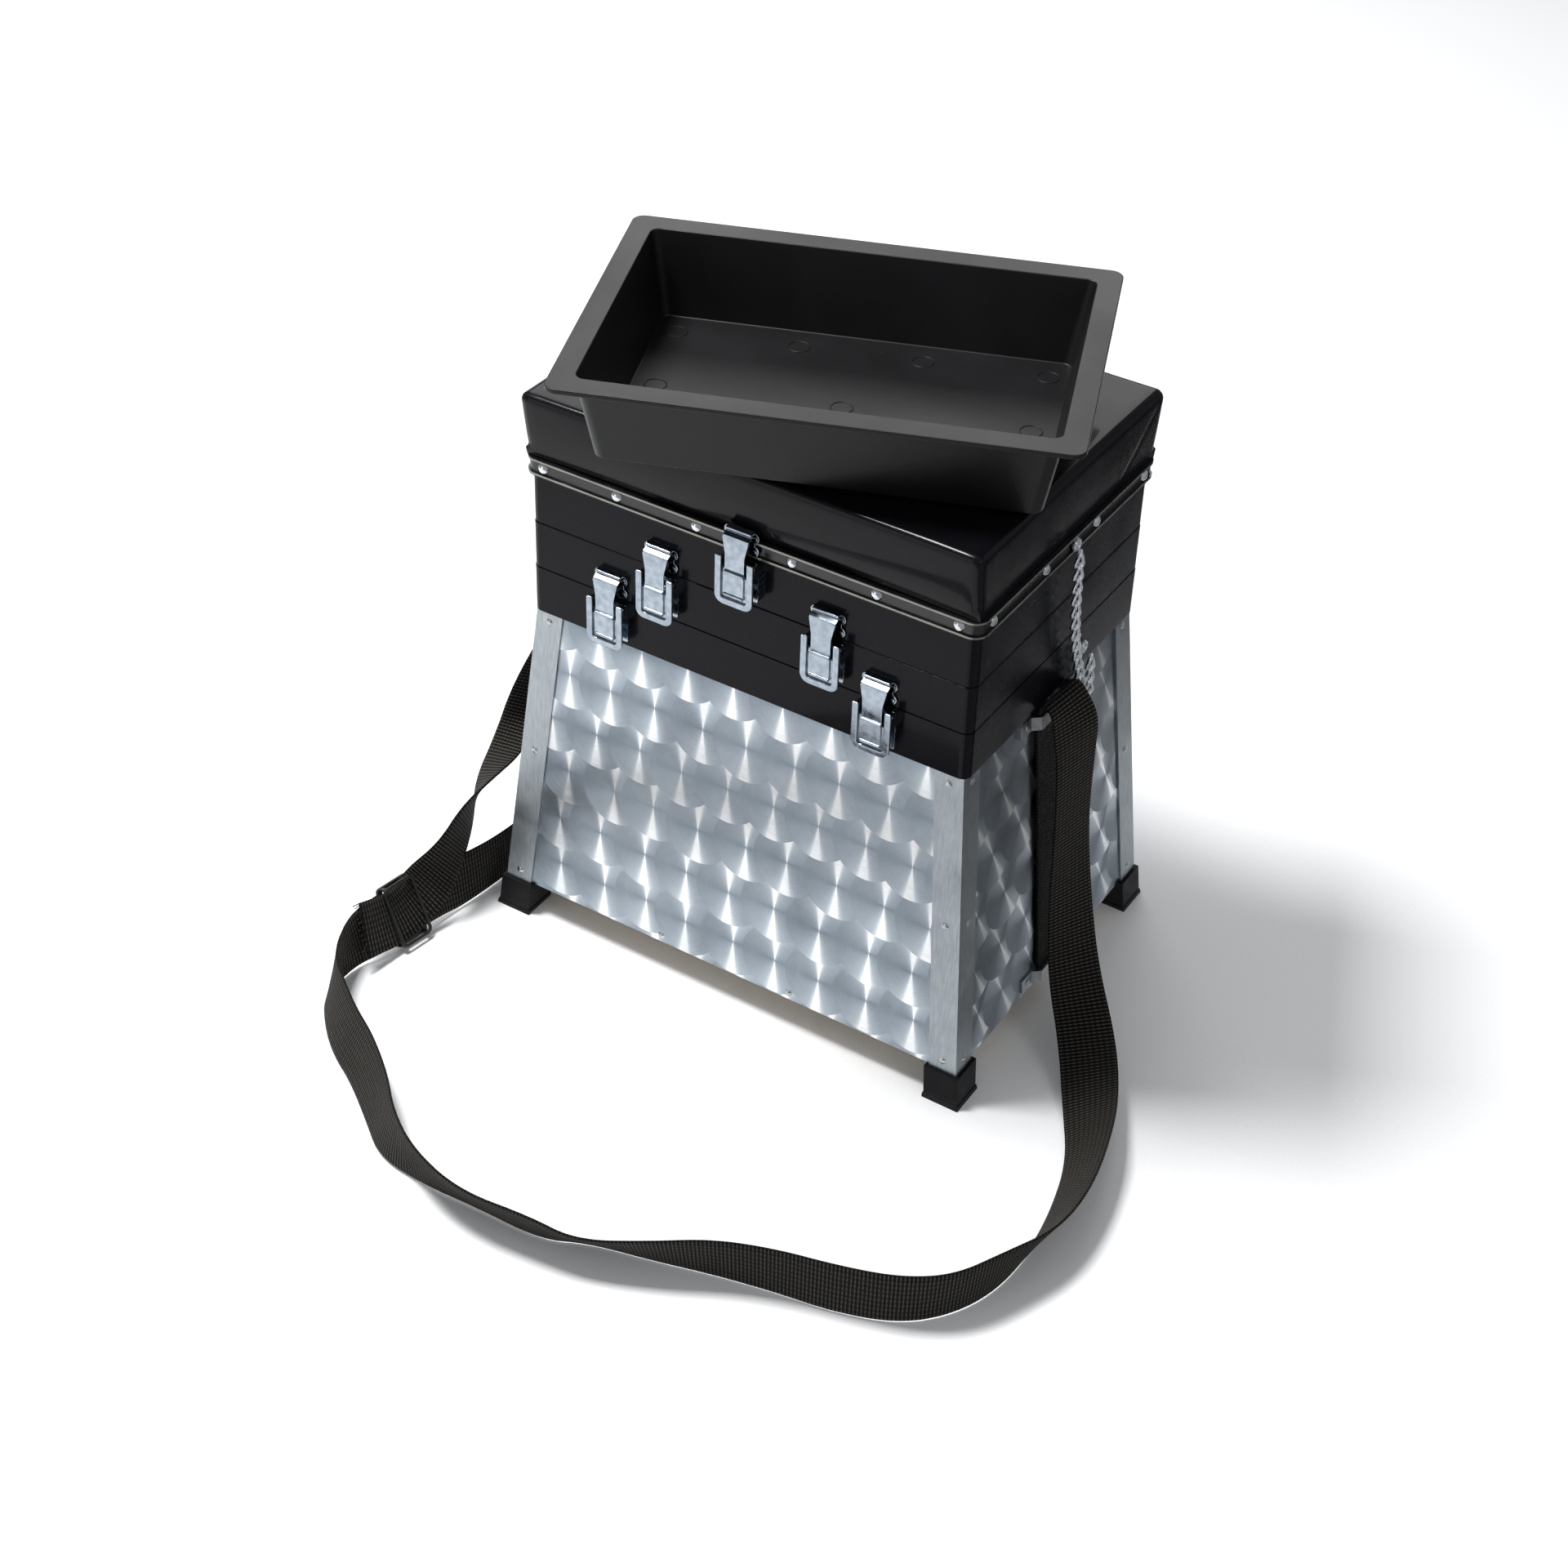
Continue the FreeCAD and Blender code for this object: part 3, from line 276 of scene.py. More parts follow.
def pick(piece, mode, test):
    """In edit mode, leaves only the vertices, edges or faces chosen whose middle, in
    millimetres, passes a test."""
    bpy.ops.mesh.select_mode(type=mode)
    bpy.ops.mesh.select_all(action="DESELECT")
    shape = bmesh.from_edit_mesh(piece.data)
    for item in {"VERT": shape.verts, "EDGE": shape.edges, "FACE": shape.faces}[mode]:
        corners = [item] if mode == "VERT" else item.verts
        middle = sum((corner.co for corner in corners), Vector()) / len(corners)
        if test(middle / MM):
            item.select_set(True)
    shape.select_flush_mode()
    bmesh.update_edit_mesh(piece.data)


def bar(*spans):
    """A block between pairs of millimetre limits along X, Y and Z."""
    return primitive(bpy.ops.mesh.primitive_cube_add, size=1,
                     location=[(a + b) / 2 * MM for a, b in spans],
                     scale=[abs(b - a) * MM for a, b in spans])


def rod(radius, length, place, turn=(0, 90, 0), sides=20):
    """A round bar in millimetres, along X unless it is turned."""
    return primitive(bpy.ops.mesh.primitive_cylinder_add, radius=radius * MM, depth=length * MM,
                     vertices=sides, location=Vector(place) * MM,
                     rotation=[math.radians(angle) for angle in turn])


def wall_plate(width, low, high, out, thickness, corner=0.0):
    """A plate whose face stands off the wall, its corners rounded."""
    plate = primitive(bpy.ops.mesh.primitive_plane_add, (width * MM, (high - low) * MM, 1),
                      size=1, location=(0, -out * MM, (low + high) / 2 * MM),
                      rotation=(math.pi / 2, 0, 0))
    if corner:
        edit(plate)
        bpy.ops.mesh.select_all(action="SELECT")
        bpy.ops.mesh.bevel(affect="VERTICES", offset=corner * MM, segments=6)
        leave_edit()
    apply_modifier(plate, "SOLIDIFY", thickness=thickness * MM, offset=-1.0)
    return plate


def pressed_strip(profile, thickness):
    """A strip bent along a profile of (out, up, half width) stations."""
    strip = primitive(bpy.ops.mesh.primitive_plane_add, size=1)
    ends = [profile[0], profile[0], profile[1], profile[1]]
    for vertex, (out, up, half), side in zip(strip.data.vertices, ends, (-1, 1, -1, 1)):
        vertex.co = Vector((side * half, -out, up)) * MM
    edit(strip)
    for before, after in zip(profile[1:], profile[2:]):
        last = Vector((0, -before[0], before[1]))
        pick(strip, "EDGE", lambda at: (at - last).length < NEAR)
        move = (0, -(after[0] - before[0]) * MM, (after[1] - before[1]) * MM)
        bpy.ops.mesh.extrude_edges_move(TRANSFORM_OT_translate={"value": move})
        bpy.ops.transform.resize(value=(after[2] / before[2], 1, 1), center_override=(0, 0, 0))
    leave_edit()
    apply_modifier(strip, "SOLIDIFY", thickness=thickness * MM, offset=0.0, use_even_offset=True)
    turn_faces_out(strip)
    return strip


def bent_bar(width, depth, start, bend, runs):
    """A flat bar lying in the X-Z plane, first downwards from its start, whose every next
    run turns left round a bend.  A bar that comes back to its start is closed up."""
    piece = primitive(bpy.ops.mesh.primitive_plane_add, (width * MM, depth * MM, 1), size=1,
                      location=Vector(start) * MM)
    edit(piece)
    bpy.ops.mesh.select_all(action="SELECT")
    x, z = start[0], start[2]
    for number, (run_x, run_z) in enumerate(runs):
        move = (run_x * MM, 0, run_z * MM)
        bpy.ops.mesh.extrude_region_move(TRANSFORM_OT_translate={"value": move})
        x, z = x + run_x, z + run_z
        if number == len(runs) - 1:
            break
        way = Vector((run_x, run_z)).normalized()
        inwards = Vector((-way.y, way.x)) * bend
        bpy.ops.mesh.spin(steps=7, angle=math.radians(90), axis=(0, 1, 0),
                          center=((x + inwards.x) * MM, 0, (z + inwards.y) * MM))
        x, z = x + inwards.x + way.x * bend, z + inwards.y + way.y * bend
    bpy.ops.mesh.select_all(action="SELECT")
    bpy.ops.mesh.remove_doubles(threshold=NEAR * MM)
    if abs(x - start[0]) + abs(z - start[2]) < NEAR:
        pick(piece, "FACE", lambda at: (at - Vector(start)).length < NEAR)
        bpy.ops.mesh.delete(type="FACE")
    leave_edit()
    turn_faces_out(piece)
    return piece


# straps, in millimetres
STRAP_WIDTH = 48.0
STRAP_THICKNESS = 2.0
FLOOR = None  # in a route, puts the strap's lower edge on the ground

# each row is the place of the strap's middle, which way its width points, and the share of
# its width left where it bunches up, as in the CAD part
CARRY_ROUTE = [
    (223.2, 0, 33, 0, 1, 0), (218.2, 0, 88, 0, 1, 0), (210.6, 0, 170, 0, 1, 0),
    (203.2, 0, 250, 0, 1, 0), (200.4, -1, 281, 0, 1, 0), (200.6, -2, 303, 0, 1, 0),
    (208, -3, 311, 0, 1, 0), (217, -4, 303, 0.12, 1, 0), (225, -5, 284, 0.34, 0.93, 0),
    (228, -6, 258, 0.2, 1, 0), (232, -10, 190, 0.12, 1, 0), (241, -17, 125, 0.3, 0.95, 0),
    (257, -30, 66, 0.5, 0.87, 0), (288, -56, 24, 0.62, 0.76, 0.1),
    (317, -103, FLOOR, 0.58, 0.66, 0.35), (343, -158, FLOOR, 0.5, 0.44, 0.7),
    (357, -214, FLOOR, 0.55, 0.2, 0.75), (360, -266, FLOOR, 0.45, -0.1, 0.85),
    (348, -314, FLOOR, 0, -0.35, 0.92), (330, -352, FLOOR, 0, -0.15, 0.98),
    (300, -378, FLOOR, 0, 0.02, 1), (256, -394, FLOOR, 0, 0.04, 1),
    (209, -404, FLOOR, 0, -0.04, 1), (164, -418, FLOOR, 0, -0.2, 0.98),
    (122, -437, FLOOR, 0, -0.48, 0.88), (72, -455, FLOOR, 0, -0.7, 0.72),
    (37, -466.5, FLOOR, -0.05, -0.42, 0.91), (-22, -470, FLOOR, -0.02, -0.52, 0.86),
    (-72.5, -466.5, FLOOR, 0.2, -0.25, 0.95), (-115.5, -452.5, FLOOR, 0.37, 0.11, 0.92),
    (-147.5, -425, FLOOR, 0.31, 0.28, 0.91), (-185.5, -397.5, FLOOR, 0.32, 0.32, 0.89),
    (-216.5, -381, FLOOR, 0.33, 0.33, 0.88), (-242, -362, FLOOR, 0.39, 0.19, 0.9),
    (-268, -338.5, FLOOR, 0.22, 0.09, 0.97), (-278, -300, FLOOR, -0.1, 0.05, 1)
]

# three of the last four points stand 2 to 7 mm off the CAD part's, to bring the frayed end
# where the photograph has it
SIDE_ROUTE = [
    (-254, -186, FLOOR, 0.2, 0, -0.95), (-246, -150, FLOOR, 0.05, 0, -1),
    (-243, -112, FLOOR, 0, 0, -1), (-240, -76, FLOOR, 0, 0, -1),
    (-233, -44, 24, 0, 0.2, -0.95, 0.9), (-225, -14, 13, 0, 0.7, -0.7, 0.5),
    (-224, 0, 30, 0, 1, 0), (-222.2, 0, 48, 0, 1, 0), (-217.4, 0, 98, 0, 1, 0),
    (-210.6, 0, 170, 0, 1, 0), (-203.2, 0, 250, 0, 1, 0), (-200.4, 0, 281, 0, 1, 0),
    (-200.6, -1, 303, 0, 1, 0), (-209, -2, 311, 0, 1, 0), (-222, -6, 292, 0, 1, 0),
    (-237.5, -18.5, 243.5, 0, 1, 0), (-255, -43, 195, 0.14, 0.98, 0.1),
    (-261, -71.5, 150.5, 0.17, 0.94, 0.29), (-260, -100.5, 118, 0.23, 0.7, 0.68),
    (-262, -134, 100.5, 0.4, 0.5, 0.76), (-259, -161.5, 82.5, 0.04, 0.39, 0.92),
    (-255, -191.5, 62.5, 0.01, 0.22, 0.98), (-262, -216, 40, -0.44, 0.12, 0.89),
    (-264.6, -244.6, 29.5, -0.42, 0, 0.9), (-267, -268, 31, -0.42, 0, 0.9),
    (-271.5, -289, 36, -0.42, 0.1, 0.9)
]

# the slide, and its rim about the slide's middle
BUCKLE_AT = (-268.6, -244, 27.6)
BUCKLE_WAY = (-0.15, -0.98, 0)
BUCKLE_UP = (-0.42, 0, 0.9)
BUCKLE_LENGTH = 34.0
RIM_HALF_LENGTH = 15.4
RIM_HALF_WIDTH = 26.6
RIM_BEND = 4.6
RIM_OUT = 8.6
RIM_SECTION = (2.6, 2.4)

# loose yarns at the cut end, and how far chance moves them
FRINGE_YARNS = 30
FRINGE_REACH = 4.0
YARN_ROOT = 2.0
YARN_R = 0.45
CHANCE_REACH = 3.0
CHANCE_BEND = 1.5
CHANCE_TIP = 5.0
CHANCE_LIFT = 4.0


def buckle_end(side):
    """The two route points that lead a strap square onto one end of the slide."""
    along = Vector(BUCKLE_WAY).normalized()
    places = [Vector(BUCKLE_AT) + along * side * reach
              for reach in (BUCKLE_LENGTH, BUCKLE_LENGTH / 2)]
    return [tuple(place) + tuple(side * share for share in BUCKLE_UP) for place in places]


def strap_edges(route):
    """The middle and the two edges of a flat strap, as control points, from a route."""
    spots = [Vector((x, y, STRAP_WIDTH / 2 if z is FLOOR else z)) for x, y, z, *width in route]
    middle, first, second = [], [], []
    for i, (spot, point) in enumerate(zip(spots, route)):
        along = (spots[min(i + 1, len(spots) - 1)] - spots[max(i - 1, 0)]).normalized()
        width = square_to(along, point[3:6])
        half = STRAP_WIDTH / 2 * (point[6] if len(point) > 6 else 1)
        if point[2] is FLOOR:
            spot = Vector((spot.x, spot.y, half * abs(width.z) + STRAP_THICKNESS))
        middle.append(at_case(*spot))
        first.append(at_case(*(spot - width * half)))
        second.append(at_case(*(spot + width * half)))
    return middle, first, second


def nurbs_piece(name, places, resolution):
    """A smooth curve by a row of control points, held at both its ends."""
    curve = bpy.data.curves.new(name, "CURVE")
    curve.dimensions = "3D"
    curve.resolution_u = resolution
    spline = curve.splines.new("NURBS")
    spline.points.add(len(places) - 1)
    for point, place in zip(spline.points, places):
        point.co = (*place, 1)
    spline.order_u = 3
    spline.use_endpoint_u = True
    return new_piece(name, curve)


def spline_points(places, resolution):
    """Points along the smooth line that a row of control points gives."""
    holder = nurbs_piece("route", places, resolution)
    bpy.context.view_layer.update()
    line = bpy.data.meshes.new_from_object(holder)
    points = [vertex.co.copy() for vertex in line.vertices]
    bpy.data.objects.remove(holder)
    return points


# a strap's section, from edge to edge and back: share of its width, share of its thickness
STRAP_TOP = [(-1, 0), (-0.993, 0.6), (-0.972, 1), (-0.7, 1), (-0.35, 1), (0, 1), (0.35, 1),
             (0.7, 1), (0.972, 1), (0.993, 0.6), (1, 0)]
STRAP_SECTION = STRAP_TOP + [(across, -up) for across, up in STRAP_TOP[-2:0:-1]]


def make_ribbon(name, route, material):
    """A woven strap swept between its two edge lines; its lay map holds metres along and
    across, for the weave.  Returns the piece and its middle line."""
    middle, first, second = [spline_points(places, 8) for places in strap_edges(route)]
    shape = bmesh.new()
    lay = shape.loops.layers.uv.new("lay")
    rings, travelled, gone = [], [], 0.0
    for i, (spot, a, b) in enumerate(zip(middle, first, second)):
        along = middle[min(i + 1, len(middle) - 1)] - middle[max(i - 1, 0)]
        face = along.cross(b - a).normalized() * (STRAP_THICKNESS * MM / 2)
        half = (b - a) / 2
        rings.append([shape.verts.new(spot + half * across + face * up)
                      for across, up in STRAP_SECTION])
        gone += (spot - middle[max(i - 1, 0)]).length
        travelled.append(gone)
    count = len(STRAP_SECTION)
    for i in range(len(rings) - 1):
        for k in range(count):
            n = (k + 1) % count
            corners = ((i, k), (i + 1, k), (i + 1, n), (i, n))
            face = shape.faces.new([rings[ring][column] for ring, column in corners])
            for loop, (ring, column) in zip(face.loops, corners):
                across = STRAP_SECTION[column][0] * STRAP_WIDTH * MM / 2
                loop[lay].uv = (travelled[ring], across)
            face.smooth = True
    for ring in (rings[0], rings[-1][::-1]):
        face = shape.faces.new(ring)
        for loop in face.loops:
            loop[lay].uv = (0.0, 0.0)
    return finish_piece(piece_from(shape, name), material, "webbing", "case"), middle


def slide_place():
    """Stands a piece modelled in the X-Z plane, facing -Y, on the slide."""
    along = Vector(BUCKLE_WAY).normalized()
    up = square_to(along, BUCKLE_UP)
    turn = Matrix((along * -1, along.cross(up), up)).transposed().to_4x4()
    return Matrix.Translation(at_case(*BUCKLE_AT)) @ turn


def make_slide_ring(plastic):
    """The slide's rounded rim over the webbing, held by a post near each of its corners."""
    long_run, wide_run = RIM_HALF_LENGTH - RIM_BEND, RIM_HALF_WIDTH - RIM_BEND
    ring = bent_bar(*RIM_SECTION, (-RIM_HALF_LENGTH, -RIM_OUT, 0.0), RIM_BEND,
                    [(0, -wide_run), (2 * long_run, 0), (0, 2 * wide_run),
                     (-2 * long_run, 0), (0, -wide_run)])
    parts = [(ring, 0.7, 3, 60)]
    for x in (3 - RIM_HALF_LENGTH, RIM_HALF_LENGTH - 3):
        for z in (-RIM_HALF_WIDTH, RIM_HALF_WIDTH):
            parts.append((bar((x - 1.6, x + 1.6), (0.2 - RIM_OUT, 0), (z - 1.2, z + 1.2)), 0.4))
    ring = assemble("strap_slide_rim", parts)
    ring.data.transform(slide_place())
    return finish_piece(ring, plastic, "buckle_plastic", "case")


def make_fringe(line, material):
    """Loose yarns at the strap's cut end, each a thin bent wire, with a lay map of its own."""
    end, way = line[-1], (line[-1] - line[-4]).normalized()
    across = square_to(way, SIDE_ROUTE[-1][3:6])
    face = way.cross(across)
    yarns = []
    for number in range(FRINGE_YARNS):
        share = number / (FRINGE_YARNS - 1) * 2 - 1
        chance = noise.noise_vector(Vector((number * 3.7, 1.3, 0.5)))
        reach = FRINGE_REACH * (0.6 + 0.4 * abs(share)) + CHANCE_REACH * chance.x
        root = end + (across * share * STRAP_WIDTH * 0.49 - way * YARN_ROOT) * MM
        bend = way * (reach * 0.6 + YARN_ROOT) + across * chance.y * CHANCE_BEND
        tip = way * (reach + YARN_ROOT) + across * chance.y * CHANCE_TIP
        tip += face * chance.z * CHANCE_LIFT
        yarn = nurbs_piece("yarn", (root, root + bend * MM, root + tip * MM), 4)
        yarn.data.bevel_depth = YARN_R * MM
        yarn.data.bevel_resolution = 1
        yarn.data.use_fill_caps = True
        choose(yarn)
        bpy.ops.object.convert(target="MESH")
        yarns.append(bpy.context.active_object)
    fringe = join(yarns, "side_strap_frayed_end")
    lay = fringe.data.uv_layers.new(name="lay")
    for loop, spot in zip(fringe.data.loops, lay.data):
        place = fringe.data.vertices[loop.vertex_index].co - end
        spot.uv = (place.dot(way), place.dot(across))
    return finish_piece(fringe, material, "webbing", "case")


def make_straps(material, plastic):
    carry, carry_line = make_ribbon("carry_strap_webbing", CARRY_ROUTE + buckle_end(1), material)
    side, side_line = make_ribbon("side_strap_webbing", buckle_end(-1)[::-1] + SIDE_ROUTE, material)
    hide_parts("carry_strap")
    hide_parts("side_strap")
    slide = dress("strap_buckle", plastic, "buckle_plastic", 0.7)
    ring = make_slide_ring(plastic)
    fringe = make_fringe(side_line, material)


# stay chain, in millimetres
CHAIN_X = 208.0
CHAIN_ROUTE = [(3, 436.9), (4, 415), (6, 385), (11, 352), (20, 326), (30, 303), (36, 283),
               (41, 272), (47, 276), (47, 292), (44, 318)]
LINK_LENGTH = 18.2
LINK_WIDTH = 12.0
LINK_WIRE_R = 1.55
LINK_TWIST = 62
LINK_PITCH = 12.0
FAR_OFF = 10.0  # metres; a blend so long that a whole link takes one share of it


def make_link():
    """One curb link: a wire ring pulled out into a stadium and twisted along its length."""
    link = primitive(bpy.ops.mesh.primitive_torus_add, major_segments=24, minor_segments=8,
                     major_radius=(LINK_WIDTH / 2 - LINK_WIRE_R) * MM,
                     minor_radius=LINK_WIRE_R * MM)
    edit(link)
    for way in (1, -1):
        pick(link, "VERT", lambda at: at.x * way > NEAR)
        bpy.ops.transform.translate(value=(way * (LINK_LENGTH - LINK_WIDTH) / 2 * MM, 0, 0))
    leave_edit()
    apply_modifier(link, "SIMPLE_DEFORM", deform_method="TWIST", deform_axis="X",
                   angle=math.radians(LINK_TWIST))
    smooth_by_angle(link, 60)
    return link


def make_chain(material):
    """Twisted links strung along the chain's line, flat side outwards.  As the lid opens,
    each link follows it by its own share, from the lid's eye to the collar's."""
    line = spline_points([at_case(CHAIN_X, y, z) for y, z in CHAIN_ROUTE], 24)
    model = make_link()
    places, left = [], LINK_PITCH * MM / 2
    for a, b in zip(line, line[1:]):
        step = b - a
        while left <= step.length:
            places.append((a + step.normalized() * left, step.normalized()))
            left += LINK_PITCH * MM
        left -= step.length
    for number, (place, way) in enumerate(places):
        flat = Vector((1, 0, 0)).cross(way).normalized()
        turn = Matrix((way, flat, way.cross(flat))).transposed().to_4x4()
        link = copy_moved(model, "chain_link_%02d" % (number + 1), Matrix.Translation(place) @ turn)
        finish_piece(link, material, "chain_steel", None, "stay_chain")
        share = number / (len(places) - 1)
        # the blend eases in and out; this takes the ease away, so shares grow evenly
        reach = 0.5 - math.sin(math.asin(1 - 2 * share) / 3)
        start = place - Vector((0, 0, -FAR_OFF)) * reach
        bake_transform(link, "lid", "upper_tier", start=start, end=start + Vector((0, 0, -FAR_OFF)))
    bpy.data.objects.remove(model)


# toggle latches, modelled at the seam's middle on the wall: X across, Z up, -Y outwards
FACING = (90, 0, 0)  # turns a rod's axis outwards
SHEET = 1.2


def model_lever():
    """Lever: a pressed U-shaped border, standing proud and rounded, round a flat panel rolled
    over at its top and bottom, on a back plate; two ears hold the draw plate's pin."""
    half, top, out, bend, run = 14.1, 0.5, 10.3, 5.1, 34.5
    border = bent_bar(5.8, 2.6, (-half, -out, top), bend,
                      [(0, -run), (2 * (half - bend), 0), (0, run)])
    width, panel_low, panel_high = 17.4, -32.2, -12.2
    parts = [(border, 1.0, 4, 60),
             (bar((-11.8, 11.8), (-9.6, -8.8), (-39.6, -14.2)), 0.3),
             (wall_plate(width, panel_low, panel_high, 11.2, 1.9), 0.3)]
    for fold in (panel_high, panel_low):
        parts.append((rod(1.35, width, (0, -11.0, fold)), 0.4))
    for side in (-1, 1):
        ear = sorted((side * 13.4, side * (13.4 + SHEET)))
        parts.append((bar(ear, (-10.6, -2.6), (-15.2, -2.8)), 0.5))
    parts.append((rod(1.1, 29.0, (0, -4.5, -13.0), sides=16), 0.3))
    return assemble("lever_model", parts)


def model_draw_plate():
    """Draw plate: hooked over the keeper's lip, a sloping face, then a panel down to its pin."""
    plate = pressed_strip([
        (3.0, 21.4, 11.2), (3.6, 21.2, 11.4), (8.6, 18.3, 11.4), (9.3, 16.9, 11.4),
        (9.8, 6.0, 9.2), (9.9, 3.0, 8.7), (9.9, -12.2, 8.6), (9.0, -14.0, 8.6),
        (7.0, -15.4, 8.6), (4.5, -15.6, 8.6), (2.4, -13.6, 8.6), (3.0, -11.0, 8.6)], 1.1)
    return assemble("draw_plate_model", [(plate, 0.3, 2, 30)])


def model_keeper():
    """Keeper: a plate with lobed corners, a rolled lip on top and a small rivet in each lobe."""
    parts = [(wall_plate(24.0, 3.0, 22.6, SHEET, SHEET, 1.5), 0.3)]
    for side in (-1, 1):
        for up in (7.0, 18.6):
            parts.append((rod(4.4, SHEET, (side * 11.0, -SHEET / 2, up), FACING, 28), 0.4))
            parts.append((rod(1.7, 1.0, (side * 12.6, -1.6, up), FACING, 16), 0.45, 3))
    lip_out = 4.9
    parts.append((rod(1.25, 23.0, (0, -lip_out, 22.7), sides=16), 0.6))
    parts.append((bar((-11.5, 11.5), (-lip_out, 0), (21.7, 23.95)), 0.4))
    return assemble("keeper_model", parts)


def model_base(back):
    """Base: a plate with a scalloped edge, reaching back behind the wall's line by a depth,
    and two upright cheeks with riveted pivots."""
    half_width, half_height, middle = 15.4, 17.2, -20.6
    scallop, scallop_pitch = 0.6, 11.4
    plate = primitive(bpy.ops.mesh.primitive_circle_add, vertices=96, radius=1,
                      fill_type="NGON", rotation=(math.pi / 2, 0, 0))
    for vertex in plate.data.vertices:
        turn = math.atan2(vertex.co.z, vertex.co.x)
        reach = 1 / max(abs(math.cos(turn)) / half_width, abs(math.sin(turn)) / half_height)
        x, z = reach * math.cos(turn), reach * math.sin(turn)
        if abs(abs(x) - half_width) < NEAR:
            x += math.copysign(scallop * math.cos(z * 2 * math.pi / scallop_pitch), x)
        vertex.co = Vector((x, -SHEET, z + middle)) * MM
    apply_modifier(plate, "SOLIDIFY", thickness=(SHEET + back) * MM, offset=-1.0)
    turn_faces_out(plate)
    parts = [(plate, 0.3)]
    cheek_low, cheek_high, cheek_out, pivot = -16.0, -2.4, 9.6, (-7.5, -5.0)
    for side in (-1, 1):
        cheek = bar(sorted((side * 14.8, side * (14.8 + SHEET))), (-cheek_out, 0),
                    (cheek_low, cheek_high))
        edit(cheek)
        pick(cheek, "EDGE", lambda at: at.y < 0.1 - cheek_out and (
            abs(at.z - cheek_low) < 0.1 or abs(at.z - cheek_high) < 0.1))
        bpy.ops.mesh.bevel(offset=3.6 * MM, segments=5)
        leave_edit()
        parts += [(cheek, 0.3), (rod(1.5, 3.6, (side * 15.2, *pivot), sides=16),),
                  (rod(2.5, 1.0, (side * 16.5, *pivot)), 0.45, 3)]
    return assemble("base_model", parts)


# each latch's seam and side, its place across and up, its wall's face, and how far the base
# reaches back behind that face
LATCHES = [("lid", "centre", 0.0, 435.5, -142.4, 4.2),
           ("upper_tier", "left", -75.0, 390.1, -138.5, 0.0),
           ("upper_tier", "right", 75.0, 390.1, -138.5, 0.0),
           ("lower_tier", "left", -122.0, 348.1, -138.8, 0.0),
           ("lower_tier", "right", 122.0, 348.1, -138.8, 0.0)]


def make_latches(steel):
    lever, draw_plate, keeper = model_lever(), model_draw_plate(), model_keeper()
    bases = {back: model_base(back) for back in (4.2, 0.0)}
    for seam, side, x, z, face, back in LATCHES:
        move = Matrix.Translation(at_case(x, face, z))
        for model, part, node in ((lever, "lever", "lever_" + side),
                                  (draw_plate, "draw_plate", "draw_plate_" + side),
                                  (keeper, "keeper", "keepers"), (bases[back], "base", "bases")):
            node = "%s_latch_%s" % (seam, node)
            piece = copy_moved(model, "%s_latch_%s_%s_pressed" % (seam, part, side), move)
            finish_piece(piece, steel, "latch_steel", body_of(NODES[node])[0], node)
    for model in (lever, draw_plate, keeper, *bases.values()):
        bpy.data.objects.remove(model)


# bait tray, in millimetres from its own middle, X along it
TRAY_MIDDLE = (15.5, -31.5)
TRAY_TURN = math.radians(21.4)
TRAY_FLOOR = 2.2
MARK_RADIUS = 8.5
MARK_WIRE_R = 0.6
MARK_PLACES = [(-147, 84), (-49, 84), (49, 84), (147, 84), (-144, 0), (0, 0), (144, 0)]


def make_tray_marks(plastic):
    """Raised rings that the mould's round ejector pins leave on the tray's floor."""
    marks = join([primitive(bpy.ops.mesh.primitive_torus_add, major_segments=40,
                            minor_segments=8, major_radius=MARK_RADIUS * MM,
                            minor_radius=MARK_WIRE_R * MM, location=Vector((x, y, TRAY_FLOOR)) * MM)
                  for x, y in MARK_PLACES], "tray_ejector_marks")
    place = at_case(*TRAY_MIDDLE, 0)
    place.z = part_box("loose_tray")[0].z
    marks.data.transform(Matrix.Translation(place) @ Matrix.Rotation(TRAY_TURN, 4, "Z"))
    smooth_by_angle(marks, 60)
    return finish_piece(marks, plastic, "tray_plastic", "tray")


# seat cushion, in millimetres: a padded box with its top drawn out over the front
CUSHION_LOW = (200.0, 138.8)  # half its length and depth at the bottom
CUSHION_HIGH = (201.2, 148.0)  # and at the top
CUSHION_HEIGHT = 58.0
CUSHION_CROWN = 2.6  # how far its top swells
CUSHION_BULGE = 1.6  # how far its sides swell
CUSHION_PULL = (1.2, 1.6)  # how far the seams pull its ends and its front in
CUSHION_EDGE_R = 7.0
CUSHION_STEPS = (7.0, 3.5, 3.0)  # its grid's steps along X, Y and Z
FOLD_TOP = 148.0  # where the fold in its ends stands at the top
FOLD_RUN = 70.0  # how far it runs back on its way up
FOLD_COSINE = 0.64  # of its line's lean
FOLD_DEPTH = 1.5
FOLD_SOFTNESS = 0.8
FOLD_LAYER = 2.5  # how thick a layer it moves


def spread_lines(half, edge, step):
    """Grid lines from -half to half, close together near the ends for the rounded edge."""
    near = [half - edge * (1 - math.cos(math.radians(a))) for a in (0, 25, 50, 72, 90)]
    inside = half - edge
    count = max(2, round(2 * inside / step))
    between = [-inside + 2 * inside * i / count for i in range(1, count)]
    return [-x for x in near] + between + near[::-1]


